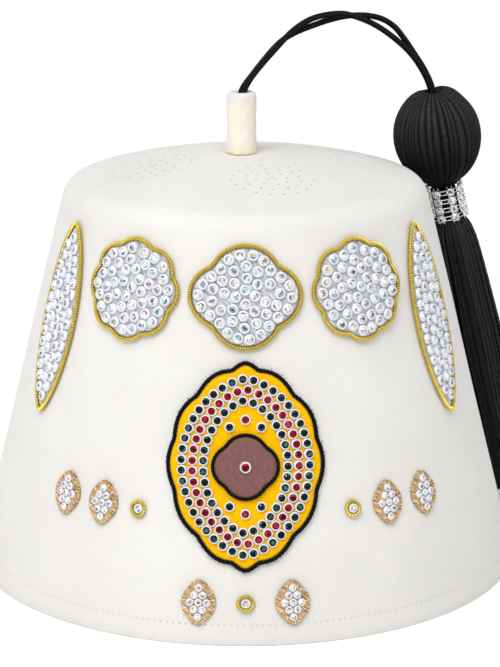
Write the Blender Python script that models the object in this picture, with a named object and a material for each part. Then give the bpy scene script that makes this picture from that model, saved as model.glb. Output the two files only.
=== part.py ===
"""A white felt fez with crystal patches on its side and a black tassel on an arched pair of cords.

Metres, +Z up. The origin is the middle of the rim, the front is -Y, and the tassel hangs towards +X.
"""

import math
from collections import namedtuple

import bmesh
import bpy
from mathutils import Matrix, Vector

# Felt cap
RIM_RADIUS = 0.095
CAP_HEIGHT = 0.1433
CROWN_RADIUS = 0.0634  # reach of the rounded shoulder
SHOULDER_RADIUS = 0.0084
CROWN_RISE = 0.0077  # middle of the crown above the top of the shoulder
FELT_WALL = 0.0026
CAP_SIDES = 48
SHOULDER_STEPS = 3
DOME_STEPS = 3

# Air vents, in round clusters on the crown
VENT_CLUSTERS = 4
VENT_CLUSTER_REACH = 0.034  # middle of the crown to the middle of a cluster
VENT_CLUSTER_RADIUS = 0.0135
VENT_FIRST_CLUSTER = math.radians(-74.0)  # from the +X axis
VENT_WIDTH = 0.0009
VENTS_PER_RING = (15, 9, 5, 1)  # from the outside in

# Clearances
SEAT_GAP = 0.0003  # between pieces that touch
LAYER_GAP = 0.0004  # under a piece that is wrapped on the side

# Stem on the crown, with a blind bore for the cords
STEM_RADIUS = 0.00505
STEM_HEIGHT = 0.021
STEM_EDGE = 0.0008
STEM_SHIFT = 0.0014  # from the cap's axis, away from the tassel
STEM_SIDES = 16
CORD_BORE_RADIUS = 0.0029
CORD_BORE_DEPTH = 0.009

# The tassel hangs in an upright plane through the cap's axis
TASSEL_TURN = math.radians(22.0)  # from the +X axis towards the back

# Cords: distance from the cap's axis in the tassel's plane, offset across it, and height
CORD_DIAMETER = 0.0021
CORD_POINT_SPACING = 0.0048
FRONT_CORD_ROUTE = (
    (-0.0014, -0.00125, 0.1560),
    (-0.0014, -0.00125, 0.1605),
    (-0.0010, -0.00125, 0.1648),
    (0.0024, -0.00125, 0.1702),
    (0.0098, -0.00125, 0.1779),
    (0.0173, -0.00125, 0.1847),
    (0.0249, -0.00125, 0.1885),
    (0.0341, -0.00125, 0.1895),
    (0.0403, -0.00125, 0.1882),
    (0.0481, -0.00125, 0.1848),
    (0.0560, -0.00125, 0.1794),
    (0.0624, -0.00125, 0.1735),
    (0.0672, -0.00125, 0.1668),
    (0.0696, -0.00125, 0.1616),
    (0.0705, -0.00125, 0.1576),
)
BACK_CORD_ROUTE = (
    (-0.0014, 0.00125, 0.1560),
    (-0.0014, 0.00125, 0.1605),
    (-0.0008, 0.00125, 0.1648),
    (0.0030, 0.00125, 0.1698),
    (0.0116, 0.00125, 0.1790),
    (0.0181, 0.00125, 0.1831),
    (0.0272, 0.00125, 0.1860),
    (0.0341, 0.00125, 0.1876),
    (0.0403, 0.00125, 0.1882),
    (0.0465, 0.00125, 0.1878),
    (0.0520, 0.00125, 0.1863),
    (0.0567, 0.00125, 0.1833),
    (0.0607, 0.00125, 0.1787),
    (0.0642, 0.00125, 0.1739),
    (0.0681, 0.00125, 0.1683),
    (0.0712, 0.00125, 0.1624),
    (0.0724, 0.00125, 0.1576),
)

# Tassel ball, resting on the shoulder
BALL_RADIUS = 0.0156
BALL_SWELL = 0.0007  # the egg's lower half reaches this much further, towards the shoulder
BALL_TOP_HEIGHT = 0.0172
BALL_FOOT_RADIUS = 0.0055
BALL_REST_ANGLE = math.radians(42.5)  # up from the level, seen from the middle of the shoulder's arc
BALL_SIDES = 24
BALL_STEPS = 5  # rings between the widest place and either end
BALL_PIT_RADIUS = 0.0036
BALL_PIT_DEPTH = 0.0040

# Crystal collar round the neck of the tassel
COLLAR_DROP = 0.0124  # its middle below the top of the straight side, along the side
HANG_DISTANCE = 0.0117  # its axis out from the felt
COLLAR_HEIGHT = 0.0128
COLLAR_INNER_RADIUS = 0.0057
COLLAR_WALL = 0.0007
COLLAR_COLUMNS = 8
COLLAR_ROWS = 4
COLLAR_FLAT_SHARE = 0.78  # of each column's arc, the rest is the bend between two stones
COLLAR_STONE_RADIUS = 0.00145
COLLAR_STONE_HEIGHT = 0.0009
STONE_SIDES = 8
TABLE_SHARE = 0.55  # width of a stone's flat top over its own

# Tassel skirt: locks fused to a neck
NECK_RADIUS = 0.0052
SKIRT_HALF_DEPTH = 0.0113
SKIRT_HALF_WIDTH = 0.0126
LOCK_COUNT = 14
LOCK_RELIEF = 0.0013
TIP_LENGTH = 0.0065
FLOOR_CLEARANCE = 0.005
Section = namedtuple("Section", "along depth width relief")
SKIRT_SECTIONS = (
    Section(along=0.00, depth=0.53, width=0.49, relief=0.0),
    Section(along=0.03, depth=0.72, width=0.66, relief=0.4),
    Section(along=0.08, depth=0.81, width=0.75, relief=0.7),
    Section(along=0.16, depth=0.86, width=0.82, relief=0.9),
    Section(along=0.40, depth=1.00, width=0.93, relief=1.0),
    Section(along=0.72, depth=1.00, width=0.98, relief=1.0),
    Section(along=1.00, depth=0.98, width=1.00, relief=1.0),
)

# Patches on the side: half sizes, how pointed the ends are, the scallops of the outline,
# and the points along half of it
LEAF_HALF_WIDTH = 0.0088
LEAF_HALF_HEIGHT = 0.0310
ROSETTE_HALF_SIZE = 0.0155
QUATREFOIL_HALF_WIDTH = 0.0168
QUATREFOIL_HALF_HEIGHT = 0.0155
FLORET_HALF_WIDTH = 0.0054
FLORET_HALF_HEIGHT = 0.0072
Patch = namedtuple("Patch", "half_width half_height point scallops scallop_depth steps")
LEAF = Patch(LEAF_HALF_WIDTH, LEAF_HALF_HEIGHT, 1.5, 0, 0.0, 12)
ROSETTE = Patch(ROSETTE_HALF_SIZE, ROSETTE_HALF_SIZE, 1.0, 8, 0.10, 16)
QUATREFOIL = Patch(QUATREFOIL_HALF_WIDTH, QUATREFOIL_HALF_HEIGHT, 1.0, 4, 0.20, 16)
FLORET = Patch(FLORET_HALF_WIDTH, FLORET_HALF_HEIGHT, 1.15, 4, 0.10, 8)
MEDALLION_HALF_WIDTH = 0.0242
MEDALLION_POINT = 1.3
MEDALLION_SCALLOPS = 12
MEDALLION_SCALLOP_DEPTH = 0.05
MEDALLION_STEPS = 24
CENTRE_POINT = 1.0
CENTRE_SCALLOPS = 4
CENTRE_SCALLOP_DEPTH = 0.16
CENTRE_STEPS = 12
PATCH_THICKNESS = 0.0008
STONE_FIELD_HEIGHT = 0.0022  # a patch's stones above its underside
STONE_FIELD_INSET = 0.0011
MEDALLION_FIELD_HEIGHT = 0.0016  # the medallion's stones above its satin
FLORET_FIELD_HEIGHT = 0.0017
EDGING_WIDTH = 0.0018
EDGING_HEIGHT = 0.0016
MEDALLION_CORD_WIDTH = 0.0015
CENTRE_CORD_WIDTH = 0.0012
FIELD_MARGIN = 0.0008  # from the medallion's scallops to its rows of stones
FIELD_ROWS = 3
FIELD_ROW_PITCH = 0.0035
FIELD_CLEARANCE = 0.0007  # from the innermost row to the cord round the middle
FIELD_STEPS = 18

# Where the patches go: angles from the front, and margins along the side
LEAF_ANGLE = math.radians(59.5)
ROSETTE_ANGLE = math.radians(32.5)
UPPER_ROW_MARGIN = 0.0028  # under the top of the straight side
MEDALLION_MARGIN = 0.0026  # over and under the medallion's edge cord
LOWER_FLORET_ANGLE = math.radians(9.5)
LOWER_ROW_HEIGHT = 0.0135
MIDDLE_ROW_HEIGHT = 0.041
MIDDLE_FLORET_ANGLES = (math.radians(33.0), math.radians(43.5))
MIDDLE_BUTTON_ANGLE = math.radians(24.0)

# Buttons: one stone in a small gold ring
BUTTON_RADIUS = 0.0030
BUTTON_HEIGHT = 0.0011
BUTTON_RIM_HEIGHT = 0.0006
BUTTON_STONE_RADIUS = 0.0019
BUTTON_STONE_HEIGHT = 0.0012
BUTTON_SIDES = 10

# Places that follow from the sizes above
SHOULDER_CENTRE = Vector((CROWN_RADIUS - SHOULDER_RADIUS, CAP_HEIGHT - CROWN_RISE - SHOULDER_RADIUS))
SIDE_LEAN = math.atan2(RIM_RADIUS - SHOULDER_CENTRE.x, SHOULDER_CENTRE.y) - math.asin(
    SHOULDER_RADIUS / math.hypot(RIM_RADIUS - SHOULDER_CENTRE.x, SHOULDER_CENTRE.y)
)
SIDE_TOP = SHOULDER_CENTRE.y + SHOULDER_RADIUS * math.sin(SIDE_LEAN)
DOME_DEPTH = CROWN_RISE + SHOULDER_RADIUS
DOME_RADIUS = (SHOULDER_CENTRE.x**2 + DOME_DEPTH**2 - SHOULDER_RADIUS**2) / (2 * CROWN_RISE)
DOME_EDGE = math.asin(SHOULDER_CENTRE.x / (DOME_RADIUS - SHOULDER_RADIUS))
TASSEL_PLANE = Matrix.Rotation(TASSEL_TURN, 4, "Z")


def side_radius(height):
    """Radius of the felt's outer face at a height on the straight side."""
    return RIM_RADIUS - height * math.tan(SIDE_LEAN)


def on_side(angle, across, height, lift):
    """Point over the felt's side, so far across from an angle and lifted out of the felt."""
    radius = side_radius(height)
    turn = angle + across / radius
    reach = radius + lift * math.cos(SIDE_LEAN)
    return Vector((reach * math.sin(turn), -reach * math.cos(turn), height + lift * math.sin(SIDE_LEAN)))


def make_material(name, colour, roughness, metallic=0.0):
    """Principled material of one colour."""
    material = bpy.data.materials.new(name)
    material.use_nodes = True
    shader = material.node_tree.nodes["Principled BSDF"]
    shader.inputs["Base Color"].default_value = (*colour, 1.0)
    shader.inputs["Roughness"].default_value = roughness
    shader.inputs["Metallic"].default_value = metallic
    return material


def add_mesh(name, mesh, material, place=None, sharp_angle=math.radians(40.0)):
    """Object of a bmesh, with its faces turned out and its round faces smooth."""
    bmesh.ops.recalc_face_normals(mesh, faces=mesh.faces)
    if mesh.calc_volume(signed=True) < 0.0:
        bmesh.ops.reverse_faces(mesh, faces=mesh.faces)
    data = bpy.data.meshes.new(name)
    mesh.to_mesh(data)
    mesh.free()
    data.shade_smooth()
    data.set_sharp_from_angle(angle=sharp_angle)
    data.materials.append(material)
    piece = bpy.data.objects.new(name, data)
    bpy.context.collection.objects.link(piece)
    if place is not None:
        piece.matrix_world = place
    return piece


def bridge(mesh, lower, upper):
    """Faces between two rings of points, either of which may be a single pole."""
    count = max(len(lower), len(upper))
    if count == 1:
        return
    for step in range(count):
        following = (step + 1) % count
        corners = []
        for ring, index in ((lower, step), (lower, following), (upper, following), (upper, step)):
            corner = ring[index % len(ring)]
            if corner not in corners:
                corners.append(corner)
        mesh.faces.new(corners)


def turn_profile(profile, sides):
    """Closed mesh turned about Z; the profile's ends meet, or lie on the axis as poles."""
    mesh = bmesh.new()
    rings = []
    for radius, height in profile:
        count = sides if radius > 0.0 else 1
        ring = []
        for step in range(count):
            turn = 2 * math.pi * step / sides
            ring.append(mesh.verts.new((radius * math.cos(turn), radius * math.sin(turn), height)))
        rings.append(ring)
    for lower, upper in zip(rings, rings[1:] + rings[:1]):
        bridge(mesh, lower, upper)
    return mesh


def cap_profile(inset):
    """Half outline of the cap from the rim to the middle of the crown, set in by a distance."""
    points = [(RIM_RADIUS - inset / math.cos(SIDE_LEAN), 0.0)]
    for step in range(SHOULDER_STEPS + 1):
        angle = SIDE_LEAN + (math.pi / 2 - DOME_EDGE - SIDE_LEAN) * step / SHOULDER_STEPS
        reach = SHOULDER_RADIUS - inset
        points.append(
            (SHOULDER_CENTRE.x + reach * math.cos(angle), SHOULDER_CENTRE.y + reach * math.sin(angle))
        )
    for step in range(DOME_STEPS - 1, -1, -1):
        angle = DOME_EDGE * step / DOME_STEPS
        reach = DOME_RADIUS - inset
        points.append((reach * math.sin(angle), CAP_HEIGHT - DOME_RADIUS + reach * math.cos(angle)))
    return points


def vent_places():
    """Middle of each vent in plan: rings of holes in each cluster, every other ring turned half a step."""
    places = []
    rings = len(VENTS_PER_RING)
    for cluster in range(VENT_CLUSTERS):
        cluster_turn = VENT_FIRST_CLUSTER + 2 * math.pi * cluster / VENT_CLUSTERS
        middle = Vector((math.cos(cluster_turn), math.sin(cluster_turn))) * VENT_CLUSTER_REACH
        for ring, count in enumerate(VENTS_PER_RING):
            radius = VENT_CLUSTER_RADIUS * (rings - 1 - ring) / (rings - 1)
            for hole in range(count):
                turn = 2 * math.pi * (hole + 0.5 * (ring % 2)) / count + cluster_turn
                places.append(middle + Vector((math.cos(turn), math.sin(turn))) * radius)
    return places


def make_vent_cutter():
    """One guide object holding a square pin for each vent."""
    mesh = bmesh.new()
    low = SHOULDER_CENTRE.y
    for place in vent_places():
        bmesh.ops.create_cone(
            mesh,
            cap_ends=True,
            segments=4,
            radius1=VENT_WIDTH / 2,
            radius2=VENT_WIDTH / 2,
            depth=2 * DOME_DEPTH,
            matrix=Matrix.Translation((place.x, place.y, low + DOME_DEPTH)),
        )
    data = bpy.data.meshes.new("vent_pins")
    mesh.to_mesh(data)
    mesh.free()
    cutter = bpy.data.objects.new("vent_pins", data)
    bpy.context.collection.objects.link(cutter)
    cutter.hide_render = True
    cutter.display_type = "WIRE"
    return cutter


def make_cap(felt):
    """The hollow felt body, with its vents cut through the crown."""
    profile = cap_profile(0.0) + cap_profile(FELT_WALL)[::-1]
    cap = add_mesh("felt_cap", turn_profile(profile, CAP_SIDES), felt)
    cut = cap.modifiers.new("vents", "BOOLEAN")
    cut.operation = "DIFFERENCE"
    cut.solver = "EXACT"
    cut.object = make_vent_cutter()
    return cap


def make_stem(felt):
    """The upright stem that the cords come out of."""
    top = STEM_HEIGHT
    profile = (
        (0.0, 0.0),
        (STEM_RADIUS, 0.0),
        (STEM_RADIUS, top - STEM_EDGE),
        (STEM_RADIUS - STEM_EDGE, top),
        (CORD_BORE_RADIUS, top),
        (CORD_BORE_RADIUS, top - CORD_BORE_DEPTH),
        (0.0, top - CORD_BORE_DEPTH),
    )
    place = TASSEL_PLANE @ Matrix.Translation((-STEM_SHIFT, 0.0, CAP_HEIGHT + SEAT_GAP))
    return add_mesh("crown_stem", turn_profile(profile, STEM_SIDES), felt, place)


def curve_through(points, spacing):
    """Evenly spaced points on a smooth curve through the chosen ones."""
    chosen = [Vector(point) for point in points]
    ends = [2 * chosen[0] - chosen[1]] + chosen + [2 * chosen[-1] - chosen[-2]]
    fine = []
    steps = 12
    for before, start, stop, after in zip(ends, ends[1:], ends[2:], ends[3:]):
        for step in range(steps):
            t = step / steps
            fine.append(
                0.5
                * (
                    2 * start
                    + (stop - before) * t
                    + (2 * before - 5 * start + 4 * stop - after) * t**2
                    + (3 * start - before - 3 * stop + after) * t**3
                )
            )
    fine.append(chosen[-1])
    lengths = [0.0]
    for start, stop in zip(fine, fine[1:]):
        lengths.append(lengths[-1] + (stop - start).length)
    count = max(2, round(lengths[-1] / spacing))
    route = []
    index = 0
    for mark in range(count + 1):
        target = lengths[-1] * mark / count
        while index < len(fine) - 2 and lengths[index + 1] < target:
            index += 1
        share = (target - lengths[index]) / (lengths[index + 1] - lengths[index])
        route.append(fine[index].lerp(fine[index + 1], share))
    return route


def make_cord(name, route, yarn):
    """One hanging cord, a round tube along its route in the tassel's plane."""
    curve = bpy.data.curves.new(name, "CURVE")
    curve.dimensions = "3D"
    curve.bevel_depth = CORD_DIAMETER / 2
    curve.bevel_resolution = 2
    curve.use_fill_caps = True
    points = curve_through(route, CORD_POINT_SPACING)
    spline = curve.splines.new("POLY")
    spline.points.add(len(points) - 1)
    for knot, point in zip(spline.points, points):
        knot.co = (*point, 1.0)
    curve.materials.append(yarn)
    cord = bpy.data.objects.new(name, curve)
    bpy.context.collection.objects.link(cord)
    cord.matrix_world = TASSEL_PLANE
    return cord


def collar_middle():
    """Middle of the collar in the tassel's plane."""
    outward = Vector((math.cos(SIDE_LEAN), math.sin(SIDE_LEAN)))
    height = SIDE_TOP - COLLAR_DROP * math.cos(SIDE_LEAN)
    return Vector((side_radius(height), height)) + outward * HANG_DISTANCE


def ball_middle():
    """Middle of the ball in the tassel's plane, resting on the shoulder."""
    reach = SHOULDER_RADIUS + SEAT_GAP + BALL_SWELL + BALL_RADIUS
    towards = Vector((math.cos(BALL_REST_ANGLE), math.sin(BALL_REST_ANGLE)))
    return SHOULDER_CENTRE + towards * reach


def collar_top():
    """Middle of the collar's upper end, where the ball's foot sits."""
    upward = Vector((-math.sin(SIDE_LEAN), math.cos(SIDE_LEAN)))
    return collar_middle() + upward * (COLLAR_HEIGHT / 2)


def plane_place(middle, lean):
    """Placement of a piece at a point of the tassel's plane, its top leaning towards the cap."""
    shift = Matrix.Translation((middle.x, 0.0, middle.y))
    return TASSEL_PLANE @ shift @ Matrix.Rotation(-lean, 4, "Y")


def make_ball(yarn):
    """The egg-shaped ball, with a pit at its top for the cords and a flat foot on the collar."""
    drop = collar_top() - ball_middle()
    lean = math.atan2(drop.x, -drop.y)
    collar_reach = COLLAR_INNER_RADIUS + COLLAR_WALL
    foot_distance = drop.length - SEAT_GAP - collar_reach * math.tan(abs(SIDE_LEAN - lean))
    foot_angle = math.acos(BALL_FOOT_RADIUS / BALL_RADIUS)
    mouth_angle = math.acos(BALL_PIT_RADIUS / BALL_RADIUS)
    profile = [(0.0, -foot_distance)]
    for step in range(BALL_STEPS, 0, -1):
        angle = foot_angle * step / BALL_STEPS
        height = -foot_distance * math.sin(angle) / math.sin(foot_angle)
        profile.append((BALL_RADIUS * math.cos(angle), height))
    for step in range(BALL_STEPS + 1):
        angle = mouth_angle * step / BALL_STEPS
        profile.append((BALL_RADIUS * math.cos(angle), BALL_TOP_HEIGHT * math.sin(angle)))
    pit_floor = profile[-1][1] - BALL_PIT_DEPTH
    profile += [(BALL_PIT_RADIUS, pit_floor), (0.0, pit_floor)]
    return add_mesh("tassel_ball", turn_profile(profile, BALL_SIDES), yarn, plane_place(ball_middle(), lean))


def add_stone(mesh, corners, radius, height):
    """Cut stone with a table, fused to the middle of a four-cornered flat in place of its face."""
    middle = sum((corner.co for corner in corners), Vector()) / 4
    right = ((corners[1].co + corners[2].co) / 2 - middle).normalized()
    outward = (corners[1].co - corners[0].co).cross(corners[3].co - corners[0].co).normalized()
    upward = outward.cross(right)
    girdle = []
    table = []
    for side in range(STONE_SIDES):
        turn = 2 * math.pi * (side + 0.5) / STONE_SIDES
        spoke = (right * math.cos(turn) + upward * math.sin(turn)) * radius
        girdle.append(mesh.verts.new(middle + spoke))
        table.append(mesh.verts.new(middle + spoke * TABLE_SHARE + outward * height))
    bridge(mesh, girdle, table)
    mesh.faces.new(table)
    per_corner = STONE_SIDES // 4
    starts = (per_corner * 2 + 1, per_corner * 3 + 1, 1, per_corner + 1)
    for index, corner in enumerate(corners):
        first = starts[index] - 1
        mesh.faces.new((corner, girdle[(first + 1) % STONE_SIDES], girdle[first % STONE_SIDES]))
        neighbour = corners[(index + 1) % 4]
        mesh.faces.new(
            (corner, neighbour, girdle[(first + 2) % STONE_SIDES], girdle[(first + 1) % STONE_SIDES])
        )


def make_collar(silver):
    """The flexible collar: columns of stones, fused to a thin sleeve that bends between them."""
    mesh = bmesh.new()
    outer = COLLAR_INNER_RADIUS + COLLAR_WALL
    column_arc = 2 * math.pi / COLLAR_COLUMNS
    edges = []
    for column in range(COLLAR_COLUMNS):
        for side in (-0.5, 0.5):
            edges.append(column_arc * (column + side * COLLAR_FLAT_SHARE))
    outer_rings = []
    for row in range(COLLAR_ROWS + 1):
        height = COLLAR_HEIGHT * (row / COLLAR_ROWS - 0.5)
        ring = [mesh.verts.new((outer * math.cos(turn), outer * math.sin(turn), height)) for turn in edges]
        outer_rings.append(ring)
    inner_rings = []
    for height in (-COLLAR_HEIGHT / 2, COLLAR_HEIGHT / 2):
        ring = []
        for turn in edges:
            ring.append(
                mesh.verts.new(
                    (COLLAR_INNER_RADIUS * math.cos(turn), COLLAR_INNER_RADIUS * math.sin(turn), height)
                )
            )
        inner_rings.append(ring)
    for lower, upper in zip(outer_rings, outer_rings[1:]):
        for index in range(len(edges)):
            following = (index + 1) % len(edges)
            corners = (lower[index], lower[following], upper[following], upper[index])
            if index % 2 == 0:
                add_stone(mesh, corners, COLLAR_STONE_RADIUS, COLLAR_STONE_HEIGHT)
            else:
                mesh.faces.new(corners)
    bridge(mesh, inner_rings[0], inner_rings[1])
    bridge(mesh, outer_rings[0], inner_rings[0])
    bridge(mesh, outer_rings[-1], inner_rings[1])
    place = plane_place(collar_middle(), SIDE_LEAN)
    return add_mesh("crystal_collar", mesh, silver, place, math.radians(15.0))


def skirt_ring(mesh, section, level, tips=0.0, shrink=1.0):
    """Ring of points round the skirt: four for each lock, its valley, two flanks and its crest."""
    depth = SKIRT_HALF_DEPTH * section.depth
    width = SKIRT_HALF_WIDTH * section.width
    back = max(LAYER_GAP, HANG_DISTANCE - depth)
    middle = back + depth - HANG_DISTANCE
    relief = LOCK_RELIEF * section.relief
    rises = (0.0, 0.7, 1.0, 0.7)
    ring = []
    for index in range(LOCK_COUNT * len(rises)):
        turn = 2 * math.pi * index / (LOCK_COUNT * len(rises))
        rise = rises[index % len(rises)]
        inward = relief * (1.0 - rise)
        x = middle + (depth - inward) * math.cos(turn) * shrink
        y = (width - inward) * math.sin(turn) * shrink
        ring.append(mesh.verts.new((x, y, level - tips * rise)))
    return ring


def neck_ring(mesh, level):
    """Round ring of the skirt's neck, with as many points as its locks need."""
    count = LOCK_COUNT * 4
    ring = []
    for index in range(count):
        turn = 2 * math.pi * index / count
        ring.append(mesh.verts.new((NECK_RADIUS * math.cos(turn), NECK_RADIUS * math.sin(turn), level)))
    return ring


def make_skirt(yarn):
    """The skirt of the tassel: locks that end in points, fused to the neck inside the collar."""
    mesh = bmesh.new()
    top = -COLLAR_HEIGHT / 2 - SEAT_GAP
    room = collar_middle().y - FLOOR_CLEARANCE - HANG_DISTANCE * math.sin(SIDE_LEAN)
    tip = -room / math.cos(SIDE_LEAN)
    foot = tip + TIP_LENGTH
    rings = [neck_ring(mesh, COLLAR_HEIGHT / 2), neck_ring(mesh, top)]
    for section in SKIRT_SECTIONS:
        rings.append(skirt_ring(mesh, section, top + (foot - top) * section.along - SEAT_GAP))
    last = SKIRT_SECTIONS[-1]
    rings.append(skirt_ring(mesh, last, foot, tips=TIP_LENGTH, shrink=0.9))
    rings.append(skirt_ring(mesh, last, foot, shrink=0.7))
    for upper, lower in zip(rings, rings[1:]):
        bridge(mesh, upper, lower)
    mesh.faces.new(rings[0])
    mesh.faces.new(rings[-1])
    return add_mesh("tassel_skirt", mesh, yarn, plane_place(collar_middle(), SIDE_LEAN))


def outline_point(patch, t):
    """Point of a patch's outline, from its right end over its top to its left end as t goes 0 to pi."""
    swell = 1 - patch.scallop_depth * (1 - abs(math.cos(patch.scallops * t / 2)))
    reach = math.copysign(abs(math.cos(t)) ** patch.point, math.cos(t))
    return Vector((patch.half_width * reach, patch.half_height * math.sin(t))) * swell


def outline(patch, offset=0.0):
    """Closed outline of a patch, two points to each upright line, moved out by an offset."""
    points = []
    nudge = 0.01
    for step in range(2 * patch.steps):
        t = math.pi * step / patch.steps
        along = outline_point(patch, t + nudge) - outline_point(patch, t - nudge)
        outward = Vector((along.y, -along.x)).normalized()
        points.append(outline_point(patch, t) + outward * offset)
    return points


def wrap_ring(mesh, points, angle, height, lift):
    """Points of a flat outline, wrapped on the side round an angle and a height."""
    ring = []
    for point in points:
        ring.append(mesh.verts.new(on_side(angle, point.x, height + point.y * math.cos(SIDE_LEAN), lift)))
    return ring


def ladder(mesh, ring):
    """Fill a wrapped outline with upright strips, so that it follows the round side."""
    steps = len(ring) // 2
    for step in range(steps):
        upper = (ring[step], ring[step + 1])
        lower = (ring[-step] if step else ring[0], ring[-step - 1])
        corners = []
        for corner in (lower[0], lower[1], upper[1], upper[0]):
            if corner not in corners:
                corners.append(corner)
        mesh.faces.new(corners)


def make_patch(name, patch, angle, height, material, lift=LAYER_GAP, field=0.0):
    """A backing wrapped on the side, with the outer form of its field of stones raised on it."""
    mesh = bmesh.new()
    edge = outline(patch)
    rings = []
    for level in (lift, lift + PATCH_THICKNESS):
        rings.append(wrap_ring(mesh, edge, angle, height, level))
    if field > 0.0:
        inner = outline(patch, -STONE_FIELD_INSET)
        rings.append(wrap_ring(mesh, inner, angle, height, lift + field))
    for lower, upper in zip(rings, rings[1:]):
        bridge(mesh, lower, upper)
    ladder(mesh, rings[0])
    ladder(mesh, rings[-1])
    return add_mesh(name, mesh, material)


def make_edging(name, patch, angle, height, width, tall, material, lift=LAYER_GAP):
    """A cord laid round a patch's outline, its section a low trapezium."""
    mesh = bmesh.new()
    corners = ((0.0, 0.0), (1.0, 0.0), (0.78, 1.0), (0.22, 1.0))
    rings = []
    for across, up in corners:
        points = outline(patch, SEAT_GAP + width * across)
        rings.append(wrap_ring(mesh, points, angle, height, lift + tall * up))
    for first, second in zip(rings, rings[1:] + rings[:1]):
        bridge(mesh, first, second)
    return add_mesh(name, mesh, material)


def narrowed(patch, distance):
    """The same shape with both half sizes less by a distance, its outline smooth."""
    half_width = patch.half_width - distance
    half_height = patch.half_height - distance
    return Patch(half_width, half_height, patch.point, 0, 0.0, FIELD_STEPS)


def make_stone_rows(name, outer, inner, angle, height, lift, material):
    """Outer form of the rows of stones round the medallion's middle, between two outlines."""
    mesh = bmesh.new()
    rings = []
    top = lift + MEDALLION_FIELD_HEIGHT
    for patch, level in ((inner, lift), (outer, lift), (outer, top), (inner, top)):
        rings.append(wrap_ring(mesh, outline(patch), angle, height, level))
    for first, second in zip(rings, rings[1:] + rings[:1]):
        bridge(mesh, first, second)
    return add_mesh(name, mesh, material)


def make_button(name, angle, height, material):
    """One cut stone in a small gold ring, fused to it, flat on the side."""
    girdle = BUTTON_STONE_RADIUS
    top = BUTTON_HEIGHT + BUTTON_STONE_HEIGHT
    profile = (
        (0.0, 0.0),
        (BUTTON_RADIUS, 0.0),
        (BUTTON_RADIUS, BUTTON_RIM_HEIGHT),
        (girdle, BUTTON_HEIGHT),
        (girdle * TABLE_SHARE, top),
        (0.0, top),
    )
    place = (
        Matrix.Translation(on_side(angle, 0.0, height, LAYER_GAP))
        @ Matrix.Rotation(angle, 4, "Z")
        @ Matrix.Rotation(math.pi / 2 - SIDE_LEAN, 4, "X")
    )
    return add_mesh(name, turn_profile(profile, BUTTON_SIDES), material, place, math.radians(20.0))


def make_upper_row(backing, purl):
    """Five crystal patches with gold edgings, hung from one line under the shoulder."""
    row_top = SIDE_TOP - (UPPER_ROW_MARGIN + SEAT_GAP + EDGING_WIDTH) * math.cos(SIDE_LEAN)
    row = (
        ("leaf", "left", LEAF, -LEAF_ANGLE),
        ("rosette", "left", ROSETTE, -ROSETTE_ANGLE),
        ("quatrefoil", "front", QUATREFOIL, 0.0),
        ("rosette", "right", ROSETTE, ROSETTE_ANGLE),
        ("leaf", "right", LEAF, LEAF_ANGLE),
    )
    for kind, side, patch, angle in row:
        height = row_top - patch.half_height * math.cos(SIDE_LEAN)
        field = STONE_FIELD_HEIGHT
        make_patch(f"{kind}_patch_{side}", patch, angle, height, backing, field=field)
        make_edging(f"{kind}_edging_{side}", patch, angle, height, EDGING_WIDTH, EDGING_HEIGHT, purl)
    return row_top - 2 * QUATREFOIL.half_height * math.cos(SIDE_LEAN)


def make_medallion(top, bottom, satin, dark_satin, black_cord, stones):
    """The upright medallion between two heights: satin, a black edge, rows of stones and a middle."""
    half_height = (top - bottom) / (2 * math.cos(SIDE_LEAN)) - MEDALLION_CORD_WIDTH - SEAT_GAP
    ground = Patch(
        MEDALLION_HALF_WIDTH,
        half_height,
        MEDALLION_POINT,
        MEDALLION_SCALLOPS,
        MEDALLION_SCALLOP_DEPTH,
        MEDALLION_STEPS,
    )
    valley = 1 - MEDALLION_SCALLOP_DEPTH
    inside_scallops = ground._replace(half_width=ground.half_width * valley, half_height=half_height * valley)
    field = narrowed(inside_scallops, FIELD_MARGIN)
    field_inside = narrowed(field, FIELD_ROWS * FIELD_ROW_PITCH)
    cord = MEDALLION_CORD_WIDTH
    thin_cord = CENTRE_CORD_WIDTH
    centre_size = field_inside.half_width - FIELD_CLEARANCE - thin_cord - SEAT_GAP
    centre = Patch(
        centre_size, centre_size, CENTRE_POINT, CENTRE_SCALLOPS, CENTRE_SCALLOP_DEPTH, CENTRE_STEPS
    )
    height = (top + bottom) / 2
    over = 2 * LAYER_GAP + PATCH_THICKNESS
    make_patch("medallion_ground", ground, 0.0, height, satin)
    make_edging("medallion_border", ground, 0.0, height, cord, cord, black_cord)
    make_stone_rows("medallion_stones", field, field_inside, 0.0, height, over, stones)
    make_patch("medallion_middle", centre, 0.0, height, dark_satin, lift=over)
    make_edging("middle_border", centre, 0.0, height, thin_cord, thin_cord, black_cord, lift=over)


def make_small_pieces(gold_satin, purl):
    """Florets and stone buttons in the middle and lower rows."""
    for side, sign in (("left", -1), ("right", 1)):
        for place, angle in zip(("inner", "outer"), MIDDLE_FLORET_ANGLES):
            name = f"floret_{side}_{place}"
            make_patch(name, FLORET, sign * angle, MIDDLE_ROW_HEIGHT, gold_satin, field=FLORET_FIELD_HEIGHT)
        make_button(f"button_{side}", sign * MIDDLE_BUTTON_ANGLE, MIDDLE_ROW_HEIGHT, purl)
        name = f"floret_{side}_lower"
        angle = sign * LOWER_FLORET_ANGLE
        make_patch(name, FLORET, angle, LOWER_ROW_HEIGHT, gold_satin, field=FLORET_FIELD_HEIGHT)
    make_button("button_front", 0.0, LOWER_ROW_HEIGHT, purl)


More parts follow.
